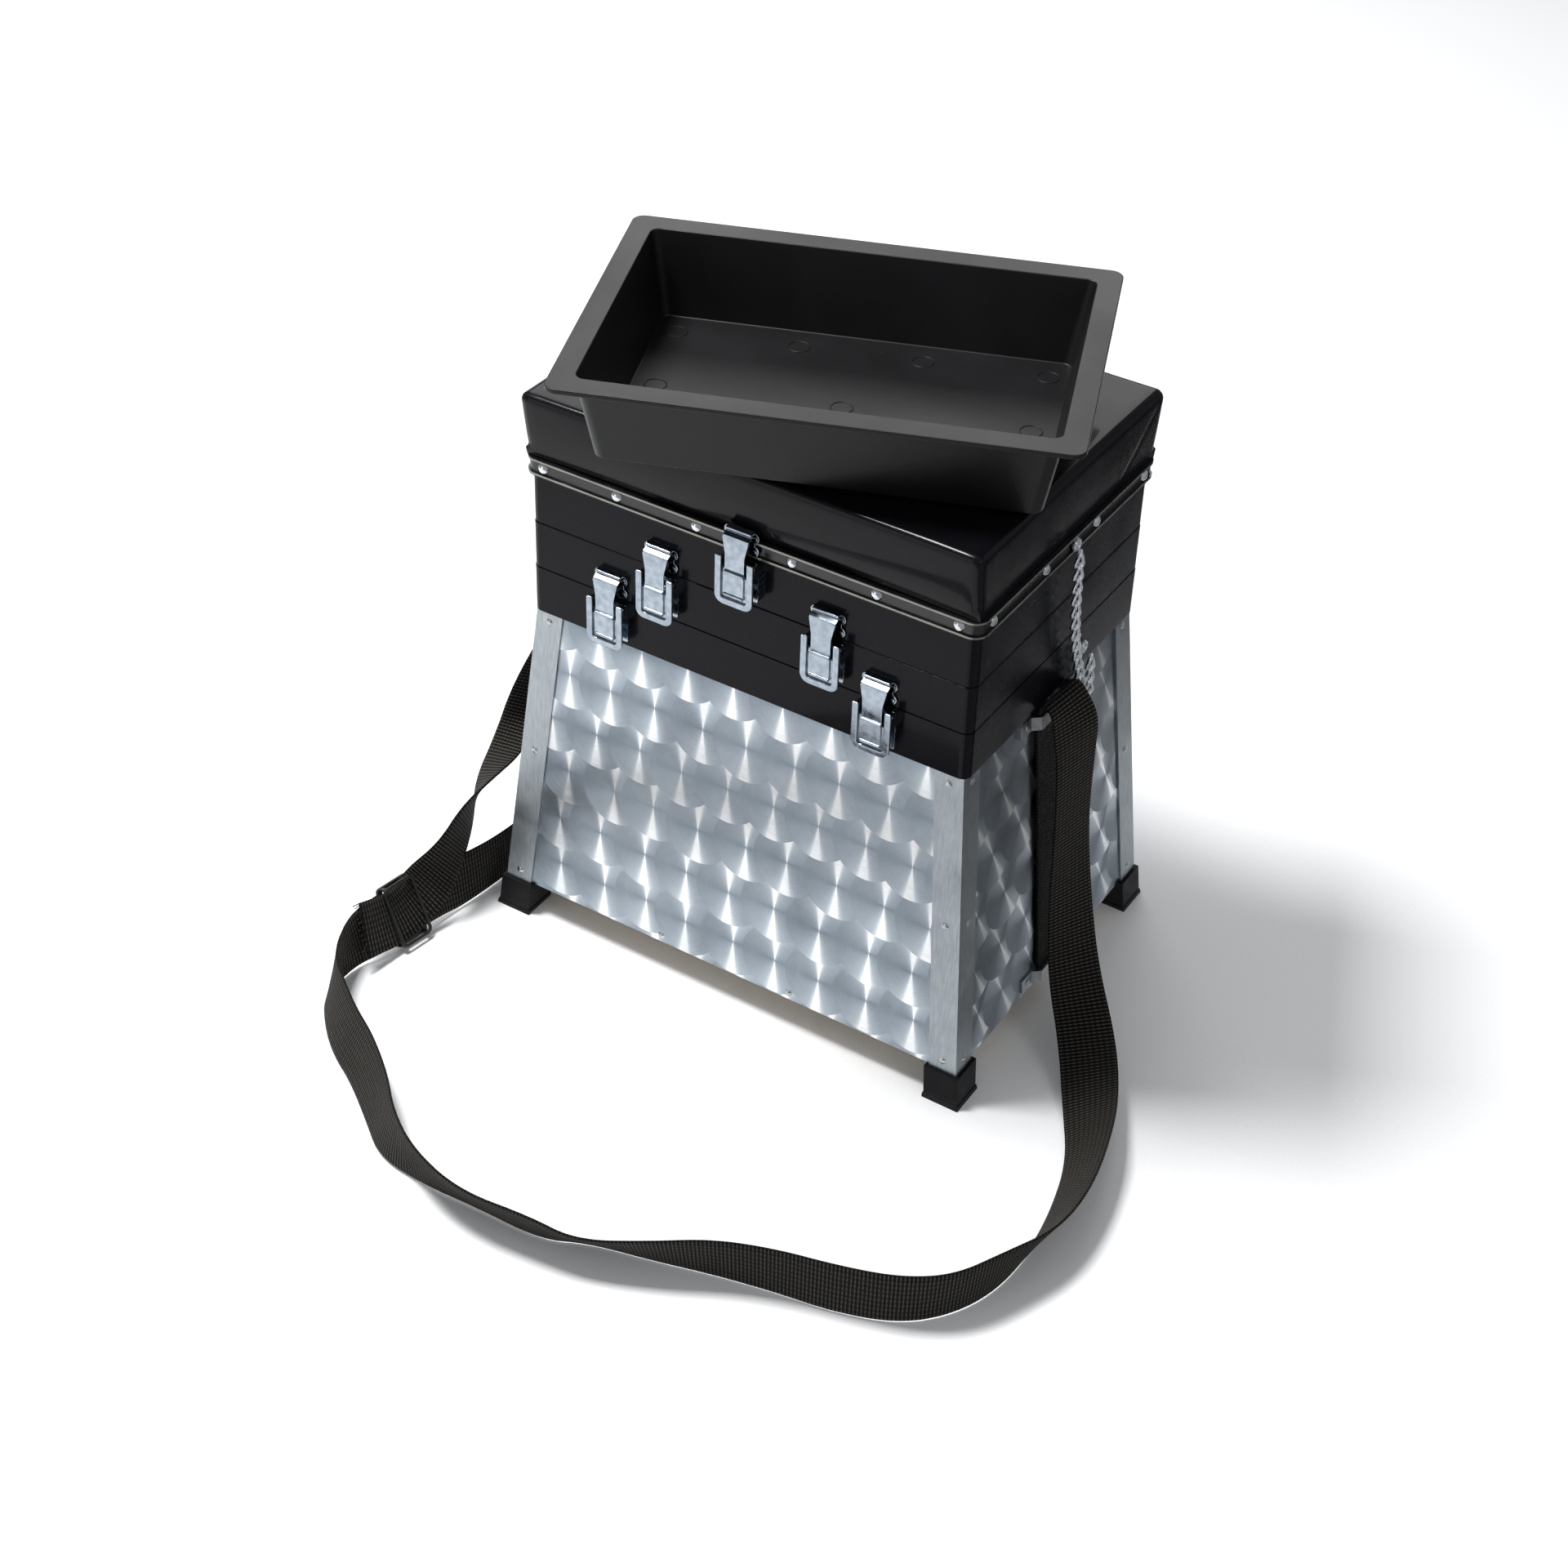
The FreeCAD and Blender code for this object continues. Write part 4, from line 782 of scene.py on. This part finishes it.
def make_cushion(material):
    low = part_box("seat_cushion")[0]
    half = (*CUSHION_HIGH, CUSHION_HEIGHT / 2)
    lines = [spread_lines(reach, CUSHION_EDGE_R, step) for reach, step in zip(half, CUSHION_STEPS)]
    shape = bmesh.new()
    known = {}

    def corner(spot):
        key = tuple(round(s, 4) for s in spot)
        if key not in known:
            known[key] = shape.verts.new(cushion_place(Vector(spot), half))
        return known[key]

    for axis in range(3):
        u, v = (axis + 1) % 3, (axis + 2) % 3
        for side in (-1, 1):
            for u0, u1 in zip(lines[u], lines[u][1:]):
                for v0, v1 in zip(lines[v], lines[v][1:]):
                    spots = []
                    for a, b in ((u0, v0), (u1, v0), (u1, v1), (u0, v1)):
                        spot = [0.0, 0.0, 0.0]
                        spot[axis], spot[u], spot[v] = side * half[axis], a, b
                        spots.append(corner(spot))
                    shape.faces.new(spots if side > 0 else spots[::-1]).smooth = True
    piece = piece_from(shape, "seat_cushion_cover")
    middle = (CASE_MIDDLE.x, CASE_MIDDLE.y, low.z + half[2] * MM)
    piece.data.transform(Matrix.Translation(middle))
    finish_piece(piece, material, "seat_vinyl", "lid", "seat_cushion")
    return piece


def cushion_place(spot, half):
    """Moves a point of the plain box onto the cushion, in metres from its middle."""
    limits = [h - CUSHION_EDGE_R for h in half]
    inner = Vector([max(-limit, min(limit, s)) for s, limit in zip(spot, limits)])
    out = spot - inner
    if out.length > 1e-6 and spot.z > -limits[2]:
        spot = inner + out.normalized() * CUSHION_EDGE_R
    rise = (spot.z + half[2]) / (2 * half[2])
    bulge = CUSHION_BULGE * math.sin(math.pi * max(0.0, min(1.0, rise)))
    share = [s / h for s, h in zip(spot, half)]
    wide = [low + (high - low) * rise ** 0.8 for low, high in zip(CUSHION_LOW, CUSHION_HIGH)]
    # the seams' pull acts at the outer faces only and fades towards their corners
    pull = (CUSHION_PULL[0] - bulge * 0.5, CUSHION_PULL[1] - bulge)
    drawn = [math.copysign(pull[i], spot[i]) * abs(share[i]) ** 12 * (1 - abs(share[1 - i]) ** 4)
             for i in (0, 1)]
    x, y = (share[i] * wide[i] - drawn[i] for i in (0, 1))
    z = spot.z
    if spot.z > limits[2]:
        z += CUSHION_CROWN * (1 - share[0] ** 2) * (1 - share[1] ** 2)
    if abs(spot.x) > half[0] - FOLD_LAYER:
        off_line = (spot.y - FOLD_TOP + FOLD_RUN * (1 - rise)) * FOLD_COSINE
        step = 1 / (1 + math.exp(-off_line / FOLD_SOFTNESS)) - 0.5
        x += math.copysign(FOLD_DEPTH * step, spot.x)
    return Vector((x, y, z)) * MM


# materials
def linear(hex_colour):
    """An sRGB hex colour as the linear values that Blender's sockets take."""
    channels = [int(hex_colour[i:i + 2], 16) / 255 for i in (1, 3, 5)]
    return [c / 12.92 if c <= 0.04045 else ((c + 0.055) / 1.055) ** 2.4 for c in channels] + [1.0]


def add(tree, kind, *values, out=0, stops=(), **settings):
    """Adds a shader node and gives one of its outputs, or with out=None the node.  Its kind
    may name its operation after a blank.  Values go to its inputs in order, a dict's to the
    inputs it numbers, and capitalised names are inputs too; an output socket is linked."""
    kind, _, operation = kind.partition(" ")
    node = tree.nodes.new("ShaderNode" + kind)
    if operation:
        node.operation = operation
    given = {}
    for place, value in enumerate(values):
        given.update(value if isinstance(value, dict) else {place: value})
    for name, value in settings.items():
        if name[0].isupper():
            given[name] = value
        else:
            setattr(node, name, value)
    for place, value in given.items():
        if isinstance(value, bpy.types.NodeSocket):
            tree.links.new(value, node.inputs[place])
        else:
            node.inputs[place].default_value = value
    if stops:
        elements = node.color_ramp.elements
        elements.remove(elements[1])
        elements[0].position = stops[0][0]
        elements[0].color = linear(stops[0][1])
        for position, colour in stops[1:]:
            elements.new(position).color = linear(colour)
    return node if out is None else node.outputs[out]


def new_material(name, **values):
    """A material with its Principled shader, whose sockets' names are written with an
    underscore for each blank; gives its node tree and the object's own coordinates too."""
    material = bpy.data.materials.new(name)
    material.use_nodes = True
    tree = material.node_tree
    for key, value in values.items():
        tree.nodes["Principled BSDF"].inputs[key.replace("_", " ")].default_value = value
    return material, tree, add(tree, "TexCoord", out="Object")


def plug_in(material, **sockets):
    """Links sockets to the material's shader by its input names and gives the material."""
    tree = material.node_tree
    for key, socket in sockets.items():
        tree.links.new(socket, tree.nodes["Principled BSDF"].inputs[key.replace("_", " ")])
    return material


# swirls, in metres
SWIRL_ACROSS = 0.043
SWIRL_UP = 0.048
SWIRL_RADIUS = 0.0315
SWIRL_WANDER = (0.12, 0.12, -1)  # in pitches; the last number passes a chance value on


def engine_turned(name, axis, lean, blade):
    """Engine-turned aluminium sheet: each dab of a spinning abrasive pad leaves a disc of
    ring scratches, and each row overlaps the row below.  The bright bow tie that ring
    scratches throw back under the key light is painted into the base colour as a highlight,
    beside the real anisotropic sheen; lean is the painted highlight's slope, set for where
    the light falls, and blade its width."""
    material, tree, place = new_material(name, Metallic=1.0, Anisotropic=0.75)
    parts = add(tree, "SeparateXYZ", place, out=None)
    across = add(tree, "Math DIVIDE", parts.outputs[axis], SWIRL_ACROSS)
    up = add(tree, "Math MULTIPLY_ADD", parts.outputs["Z"], 1 / SWIRL_UP, 0.72)
    here = add(tree, "CombineXYZ", across, up, 0.0)
    row_below = add(tree, "Math FLOOR", up)
    found = None
    for row_step, column_step in ((0, 0), (0, 1), (1, 0), (1, 1)):
        row = add(tree, "Math ADD", row_below, float(row_step))
        shift = add(tree, "TexWhiteNoise", W=row, noise_dimensions="1D")
        column = add(tree, "Math FLOOR", add(tree, "Math SUBTRACT", across, shift))
        column = add(tree, "Math ADD", column, float(column_step))
        cell = add(tree, "CombineXYZ", column, row, 0.0)
        stray = add(tree, "TexWhiteNoise", cell, out="Color", noise_dimensions="3D")
        middle = add(tree, "CombineXYZ", add(tree, "Math ADD", column, shift), row, 0.0)
        middle = add(tree, "VectorMath MULTIPLY_ADD", stray, SWIRL_WANDER, middle)
        spot = add(tree, "VectorMath SUBTRACT", here, middle)
        spot = add(tree, "VectorMath MULTIPLY", spot, (SWIRL_ACROSS, SWIRL_UP, 1))
        if found is None:
            found = spot
            continue
        flat = add(tree, "VectorMath MULTIPLY", spot, (1, 1, 0))
        distance = add(tree, "VectorMath LENGTH", flat, out="Value")
        inside = add(tree, "Math LESS_THAN", distance, SWIRL_RADIUS)
        found = add(tree, "Mix", {0: inside, 4: found, 5: spot}, out=1, data_type="VECTOR")
    local = add(tree, "SeparateXYZ", found, out=None)
    right, above, luck = (local.outputs[name] for name in "XYZ")
    flat = add(tree, "VectorMath MULTIPLY", found, (1, 1, 0))
    radius = add(tree, "VectorMath LENGTH", flat, out="Value")
    # the painted bow-tie highlight: a point's angle off its leaning middle line, from 0 along it to 1 across
    highlight_way = (-math.sin(lean), math.cos(lean), 0)
    along_highlight = add(tree, "VectorMath DOT_PRODUCT", flat, highlight_way, out="Value")
    across_highlight_way = (math.cos(lean), math.sin(lean), 0)
    off_highlight = add(tree, "VectorMath DOT_PRODUCT", flat, across_highlight_way, out="Value")
    along_highlight = add(tree, "Math ABSOLUTE", along_highlight)
    off_highlight = add(tree, "Math ABSOLUTE", off_highlight)
    angle = add(tree, "Math ARCTAN2", off_highlight, along_highlight)
    ring_place = add(tree, "CombineXYZ",
                     add(tree, "Math MULTIPLY", radius, 1300.0),
                     add(tree, "Math MULTIPLY", luck, 50.0),
                     add(tree, "Math MULTIPLY", angle, 0.8))
    scratches = add(tree, "TexNoise", Vector=ring_place, Scale=1.0, Detail=3.0)
    spread = add(tree, "MapRange", scratches, 0.3, 0.7, 0.82 / blade, 1.25 / blade)
    per_quarter_turn = 0.6366
    turned = add(tree, "Math MULTIPLY", add(tree, "Math MULTIPLY", angle, spread), per_quarter_turn)
    # painted highlight in the base colour: white along the bow tie's middle line, greyer across it
    painted_bow_tie_highlight = add(tree, "ValToRGB", turned,
              stops=[(0.0, "#ffffff"), (0.085, "#fbfcfd"), (0.14, "#ccd2d7"), (0.22, "#b1b9c0"),
                     (0.42, "#a3abb3"), (0.8, "#969fa7"), (1.0, "#889199")])
    cloud = add(tree, "TexNoise", Vector=place, Scale=14.0, Detail=4.0, Roughness=0.6)
    tone = add(tree, "Math MULTIPLY_ADD", cloud, 0.6, add(tree, "Math MULTIPLY", scratches, 0.4))
    shade = add(tree, "ValToRGB", tone,
                stops=[(0.3, "#c4c7ca"), (0.5, "#e9eaeb"), (0.7, "#ffffff")])
    colour = add(tree, "Mix", {0: 1.0, 6: painted_bow_tie_highlight, 7: shade}, out=2, data_type="RGBA",
                 blend_type="MULTIPLY")
    roughness = add(tree, "MapRange", scratches, 0.0, 1.0, 0.24, 0.42)
    back = add(tree, "Math MULTIPLY", right, -1.0)
    if axis == "X":
        ring_way = add(tree, "CombineXYZ", above, 0.0, back)
    else:
        ring_way = add(tree, "CombineXYZ", 0.0, above, back)
    tangent = add(tree, "VectorMath NORMALIZE", ring_way)
    normal = add(tree, "Bump", Height=scratches, Distance=0.00003)
    return plug_in(material, Base_Color=colour, Roughness=roughness, Tangent=tangent, Normal=normal)


def mill_aluminium():
    """Extruded angle as it leaves the mill: drawn lines along its length, handling scuffs."""
    material, tree, place = new_material("mill_finish_aluminium_extrusion", Metallic=1.0)
    drawn_place = add(tree, "VectorMath MULTIPLY", place, (1, 1, 0.012))
    drawn = add(tree, "TexNoise", Vector=drawn_place, Scale=900.0, Detail=2.0)
    smudge = add(tree, "TexNoise", Vector=place, Scale=26.0, Detail=4.0, Roughness=0.6)
    tone = add(tree, "Math MULTIPLY_ADD", smudge, 0.6, add(tree, "Math MULTIPLY", drawn, 0.4))
    colour = add(tree, "ValToRGB", tone,
                 stops=[(0.3, "#868c90"), (0.55, "#a2a8ac"), (0.75, "#bcc1c4")])
    roughness = add(tree, "MapRange", smudge, 0.3, 0.7, 0.34, 0.55)
    normal = add(tree, "Bump", Height=drawn, Distance=0.00004)
    return plug_in(material, Base_Color=colour, Roughness=roughness, Normal=normal)


def plated_steel(name, low, high, rough_low, rough_high):
    """Pressed steel under bright plating: smooth, with slightly cloudy patches."""
    material, tree, place = new_material(name, Metallic=1.0)
    cloud = add(tree, "TexNoise", Vector=place, Scale=180.0, Detail=3.0)
    colour = add(tree, "ValToRGB", cloud, stops=[(0.3, low), (0.7, high)])
    roughness = add(tree, "MapRange", cloud, 0.3, 0.7, rough_low, rough_high)
    normal = add(tree, "Bump", Height=cloud, Distance=0.00004)
    return plug_in(material, Base_Color=colour, Roughness=roughness, Normal=normal)


def moulded_plastic(name, dark, light, roughness, grain_mm, level, gloss):
    """Injection-moulded black plastic: spark-eroded grain, faint handling marks."""
    material, tree, place = new_material(name, Specular_IOR_Level=level, Coat_Weight=gloss,
                                         Coat_Roughness=0.08)
    marks = add(tree, "TexNoise", Vector=place, Scale=22.0, Detail=5.0, Roughness=0.6)
    grain = add(tree, "TexNoise", Vector=place, Scale=1000 / grain_mm, Detail=2.0)
    colour = add(tree, "ValToRGB", marks, stops=[(0.3, dark), (0.75, light)])
    spread = add(tree, "MapRange", marks, 0.3, 0.7, roughness - 0.07, roughness + 0.07)
    normal = add(tree, "Bump", Height=grain, Distance=0.000005)
    return plug_in(material, Base_Color=colour, Roughness=spread, Normal=normal)


def leathercloth():
    """Leathercloth over foam: a calendered PVC skin with a fine pressed grain, soft sheen."""
    material, tree, place = new_material("pvc_leathercloth", Specular_IOR_Level=0.05,
                                         Coat_Weight=0.2, Coat_Roughness=0.07)
    pores = add(tree, "TexVoronoi", Vector=place, Scale=1100.0)
    folds = add(tree, "TexNoise", Vector=place, Scale=18.0, Detail=3.0)
    colour = add(tree, "ValToRGB", folds, stops=[(0.3, "#09090c"), (0.7, "#0d0d11")])
    spread = add(tree, "MapRange", folds, 0.3, 0.7, 0.2, 0.3)
    soft = add(tree, "Bump", Height=folds, Distance=0.0012, Strength=0.5)
    normal = add(tree, "Bump", Height=pores, Distance=0.00005, Normal=soft)
    return plug_in(material, Base_Color=colour, Roughness=spread, Normal=normal)


# the weave's pitches in metres; real ribs are 2.2 mm apart, drawn coarser so that they show
RIB_PITCH = 0.003
WARP_PITCH = 0.0048


def webbing_weave():
    """Polypropylene webbing: weft ribs right across it, dipping between the warp columns; its colour paints
    shade into the dips and a highlight on the rib tops.
    """
    material, tree, place = new_material("polypropylene_webbing", Roughness=0.75,
                                         Specular_IOR_Level=0.1, Sheen_Weight=0.04,
                                         Sheen_Roughness=0.5)
    lay = add(tree, "SeparateXYZ", add(tree, "UVMap", uv_map="lay"), out=None)
    column = add(tree, "Math DIVIDE", lay.outputs["Y"], WARP_PITCH)
    along = add(tree, "Math DIVIDE", lay.outputs["X"], RIB_PITCH)
    rib = add(tree, "Math SINE", add(tree, "Math MULTIPLY", along, 2 * math.pi))
    rib = add(tree, "Math MULTIPLY_ADD", rib, 0.5, 0.5)
    swell = add(tree, "Math MULTIPLY", add(tree, "Math FRACT", column), math.pi)
    swell = add(tree, "Math MULTIPLY_ADD", add(tree, "Math SINE", swell), 0.4, 0.6)
    height = add(tree, "Math MULTIPLY", rib, swell)
    fuzz = add(tree, "TexNoise", Vector=place, Scale=1500.0, Detail=2.0)
    tone = add(tree, "Math MULTIPLY_ADD", height, 0.7, add(tree, "Math MULTIPLY", fuzz, 0.3))
    # painted shade and highlight: near black in the weave's dips, pale brown on the raised rib tops, with
    # random fuzz mixed in
    colour = add(tree, "ValToRGB", tone,
                 stops=[(0.2, "#020202"), (0.5, "#0e0d0c"), (0.85, "#524c44")])
    normal = add(tree, "Bump", Height=tone, Distance=0.0016)
    return plug_in(material, Base_Color=colour, Normal=normal)


# how far the beads run inside the trim's two edges, in metres
BEAD_INSET = 0.0014


def lacquered_trim():
    """Edge trim: a black lacquered strip, its two beads worn to a dull silver line."""
    material, tree, place = new_material("lacquered_edge_trim", Specular_IOR_Level=0.5)
    low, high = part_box("trim_band")
    height = add(tree, "SeparateXYZ", place, out="Z")
    off_middle = add(tree, "Math SUBTRACT", height, (low.z + high.z) / 2)
    off_middle = add(tree, "Math ABSOLUTE", off_middle)
    from_bead = add(tree, "Math SUBTRACT", off_middle, (high.z - low.z) / 2 - BEAD_INSET)
    from_bead = add(tree, "Math ABSOLUTE", from_bead)
    wear = add(tree, "TexNoise", Vector=place, Scale=60.0, Detail=4.0)
    reach = add(tree, "Math MULTIPLY_ADD", wear, 0.0009, 0.0001)
    past = add(tree, "Math SUBTRACT", from_bead, reach)
    bead = add(tree, "MapRange", past, 0.0003, 0.0, 0.0, 1.0)
    dark = add(tree, "ValToRGB", wear, stops=[(0.3, "#0e0e10"), (0.8, "#1b1b1c")])
    colour = add(tree, "Mix", {0: bead, 6: dark, 7: linear("#8a8983")}, out=2, data_type="RGBA")
    metal = add(tree, "Math MULTIPLY", bead, 0.8)
    roughness = add(tree, "MapRange", wear, 0.3, 0.7, 0.22, 0.4)
    normal = add(tree, "Bump", Height=wear, Distance=0.0001)
    return plug_in(material, Base_Color=colour, Metallic=metal, Roughness=roughness, Normal=normal)


def birch_plywood():
    """Birch ply: long fine grain along the board."""
    material, tree, place = new_material("birch_plywood", Roughness=0.6)
    long_place = add(tree, "VectorMath MULTIPLY", place, (0.12, 1, 1))
    grain = add(tree, "TexNoise", Vector=long_place, Scale=60.0, Detail=5.0, Roughness=0.6)
    colour = add(tree, "ValToRGB", grain, stops=[(0.3, "#a89c88"), (0.7, "#c6bba8")])
    normal = add(tree, "Bump", Height=grain, Distance=0.0002)
    return plug_in(material, Base_Color=colour, Normal=normal)


def foot_rubber():
    """Moulded rubber feet: dull black, with grey dust rubbed in near the ground."""
    material, tree, place = new_material("moulded_rubber", Specular_IOR_Level=0.12)
    dust = add(tree, "TexNoise", Vector=place, Scale=90.0, Detail=5.0, Roughness=0.65)
    low = add(tree, "MapRange", add(tree, "SeparateXYZ", place, out="Z"), 0.012, 0.0, 0.6, 1.3)
    worn = add(tree, "Math MULTIPLY", dust, low)
    colour = add(tree, "ValToRGB", worn, stops=[(0.35, "#09090c"), (0.75, "#232325")])
    roughness = add(tree, "MapRange", dust, 0.3, 0.7, 0.42, 0.62)
    normal = add(tree, "Bump", Height=dust, Distance=0.0002)
    return plug_in(material, Base_Color=colour, Roughness=roughness, Normal=normal)


def tray_polypropylene():
    """Injection-moulded polypropylene: satin grey-black, rubbed paler where it is handled."""
    material, tree, place = new_material("moulded_polypropylene", Specular_IOR_Level=0.3)
    flow = add(tree, "TexNoise", Vector=place, Scale=9.0, Detail=3.0)
    scuff_place = add(tree, "VectorMath MULTIPLY", place, (0.25, 1, 1))
    scuff = add(tree, "TexNoise", Vector=scuff_place, Scale=240.0, Detail=6.0, Roughness=0.75)
    grain = add(tree, "TexNoise", Vector=place, Scale=1400.0, Detail=2.0)
    marks = add(tree, "MapRange", scuff, 0.66, 0.76, 0.0, 0.35)
    body = add(tree, "ValToRGB", flow, stops=[(0.3, "#0d0d0e"), (0.7, "#131315")])
    colour = add(tree, "Mix", {0: marks, 6: body, 7: linear("#4a4a4c")}, out=2, data_type="RGBA")
    roughness = add(tree, "MapRange", flow, 0.3, 0.7, 0.36, 0.5)
    normal = add(tree, "Bump", Height=grain, Distance=0.00006)
    return plug_in(material, Base_Color=colour, Roughness=roughness, Normal=normal)


# dressing of the whole box
def dress_box():
    """Gives the panels, which keep their own shape, their sheet and every other node its
    rounded copy, then stands in the pieces made here."""
    # front and side sheets are one metal whose painted highlight is leaned and narrowed for the light
    # falling on each face
    for look, axis, lean, blade, panels in (
            ("front", "X", 0.0, 1.0, ("front_panel", "back_panel")),
            ("side", "Y", 0.44, 0.62, ("left_panel", "right_panel"))):
        sheet = engine_turned("engine_turned_aluminium_" + look, axis, lean, blade)
        for panel in panels:
            NODES[panel].data.materials.clear()
            NODES[panel].data.materials.append(sheet)
    mill = mill_aluminium()
    rubber = foot_rubber()
    nickel = plated_steel("nickel_plated_steel", "#87909a", "#a3acb6", 0.1, 0.2)
    bright = plated_steel("bright_nickel_nails", "#c4c8cc", "#e2e5e8", 0.12, 0.2)
    wire = plated_steel("nickel_plated_chain_wire", "#dadee2", "#f0f2f4", 0.2, 0.34)
    zinc = plated_steel("zinc_plated_steel", "#8b8d8f", "#b0b2b3", 0.25, 0.42)
    rivet_alloy = plated_steel("domed_aluminium_rivet", "#9a9d9f", "#c4c6c7", 0.2, 0.36)
    case_plastic = moulded_plastic("moulded_polystyrene_case", "#0a0a0f", "#0e0e13",
                                   0.26, 0.5, 0.05, 0.14)
    ply = birch_plywood()
    vinyl = leathercloth()
    for side in ("front_left", "front_right", "back_left", "back_right"):
        dress("corner_angle_" + side, mill, "mill_aluminium", 0.25)
        dress("foot_" + side, rubber, "foot_rubber", 1.0, 3)
    dress("bin_rivets", rivet_alloy, "rivet_aluminium")
    dress("base_board", ply, "plywood", 0.5)
    # the seat's board shows bare ply below and is covered elsewhere
    board = dress("lid_board", ply, "lid_plywood", 0.5)
    board.data.materials.append(vinyl)
    for face in board.data.polygons:
        face.material_index = 0 if face.normal.z < -0.7 else 1
    for side in ("left", "right"):
        for end in ("bottom", "top"):
            dress("strap_loop_%s_%s" % (side, end), zinc, "loop_steel", 0.5)
    dress("strap_loop_rivets", rivet_alloy, "rivet_steel")
    for node in ("collar", "lower_tier", "upper_tier"):
        dress(node, case_plastic, "case_plastic", 0.8)
    dress("trim_band", lacquered_trim(), "trim", 0.7, 3)
    dress("trim_band_rivets", bright, "nail_nickel")
    for seam in ("lower", "middle", "lid"):
        for part in ("lower_leaves", "upper_leaves", "pins"):
            dress("%s_hinge_%s" % (seam, part), zinc, "hinge_steel", 0.2)
    for node in ("chain_eye_collar", "chain_eye_lid"):
        dress(node, wire, "chain_steel")
    make_latches(nickel)
    tray_plastic = tray_polypropylene()
    dress("loose_tray", tray_plastic, "tray_plastic", 0.9, 3)
    make_tray_marks(tray_plastic)
    make_cushion(vinyl)
    make_chain(wire)


# studio
def soft_light(name, place, aim_height, size, power):
    """A rectangular light turned to a height over the middle of the floor."""
    light = bpy.data.lights.new(name, "AREA")
    light.shape = "RECTANGLE"
    light.size, light.size_y = size
    light.energy = power
    holder = new_piece(name, light)
    holder.location = Vector(place)
    way = Vector((0, 0, aim_height)) - holder.location
    holder.rotation_euler = way.to_track_quat("-Z", "Y").to_euler()


def stage_plane(name, size, place, material):
    """A flat piece of the studio that isn't part of the object."""
    plane = primitive(bpy.ops.mesh.primitive_plane_add, (*size, 1), size=1, location=place)
    plane.name = name
    plane.data.materials.append(material)
    return plane


def make_bounce_card():
    """A white card beside the object, seen only in reflections: it stands in for the floor,
    and stops short on the right so that the dark sides stay dark."""
    white = new_material("white_bounce_card", Roughness=0.9, Emission_Strength=0.22,
                         Emission_Color=linear("#f4f7fb"))[0]
    card = stage_plane("bounce_card", (3.36, 6.0), (-1.32, 0, 0.001), white)
    card.visible_camera = card.visible_diffuse = card.visible_shadow = False


def make_studio():
    paper, tree, place = new_material("matt_studio_paper", Roughness=0.9, Specular_IOR_Level=0.1)
    fibres = add(tree, "TexNoise", Vector=place, Scale=400.0, Detail=3.0)
    white = add(tree, "ValToRGB", fibres, stops=[(0.3, "#f4f4f4"), (0.7, "#f8f8f8")])
    floor = stage_plane("studio_floor", (14, 14), (0, 0, 0), plug_in(paper, Base_Color=white))
    floor.visible_glossy = False
    make_bounce_card()
    world = bpy.data.worlds.new("studio")
    bpy.context.scene.world = world
    world.use_nodes = True
    tree = world.node_tree
    background = tree.nodes["Background"]
    background.inputs["Color"].default_value = linear("#eef1f5")
    # the world is dark on the side that the right panel and the tiers' right ends mirror
    way = add(tree, "TexCoord", out="Generated")
    towards = add(tree, "VectorMath DOT_PRODUCT", way, (0.404, 0.7, -0.588), out="Value")
    strength = add(tree, "MapRange", towards, 0.8, 0.94, 0.38, 0.06)
    tree.links.new(strength, background.inputs["Strength"])
    soft_light("key", (-1.0, -0.4, 2.7), 0.25, (0.7, 0.7), 98)
    soft_light("fill", (-1.15, -2.5, 0.85), 0.35, (1.3, 1.5), 7)
    soft_light("side", (2.5, -0.9, 2.0), 0.25, (0.8, 0.8), 7)
    soft_light("back", (-1.3, 2.24, 2.1), 0.45, (2.2, 1.4), 28)
    bpy.context.scene.view_settings.view_transform = "Standard"


make_camera()
make_straps(webbing_weave(), moulded_plastic("moulded_acetal_slide", "#161616", "#222220",
                                             0.4, 0.4, 0.3, 0.0))
dress_box()
make_studio()
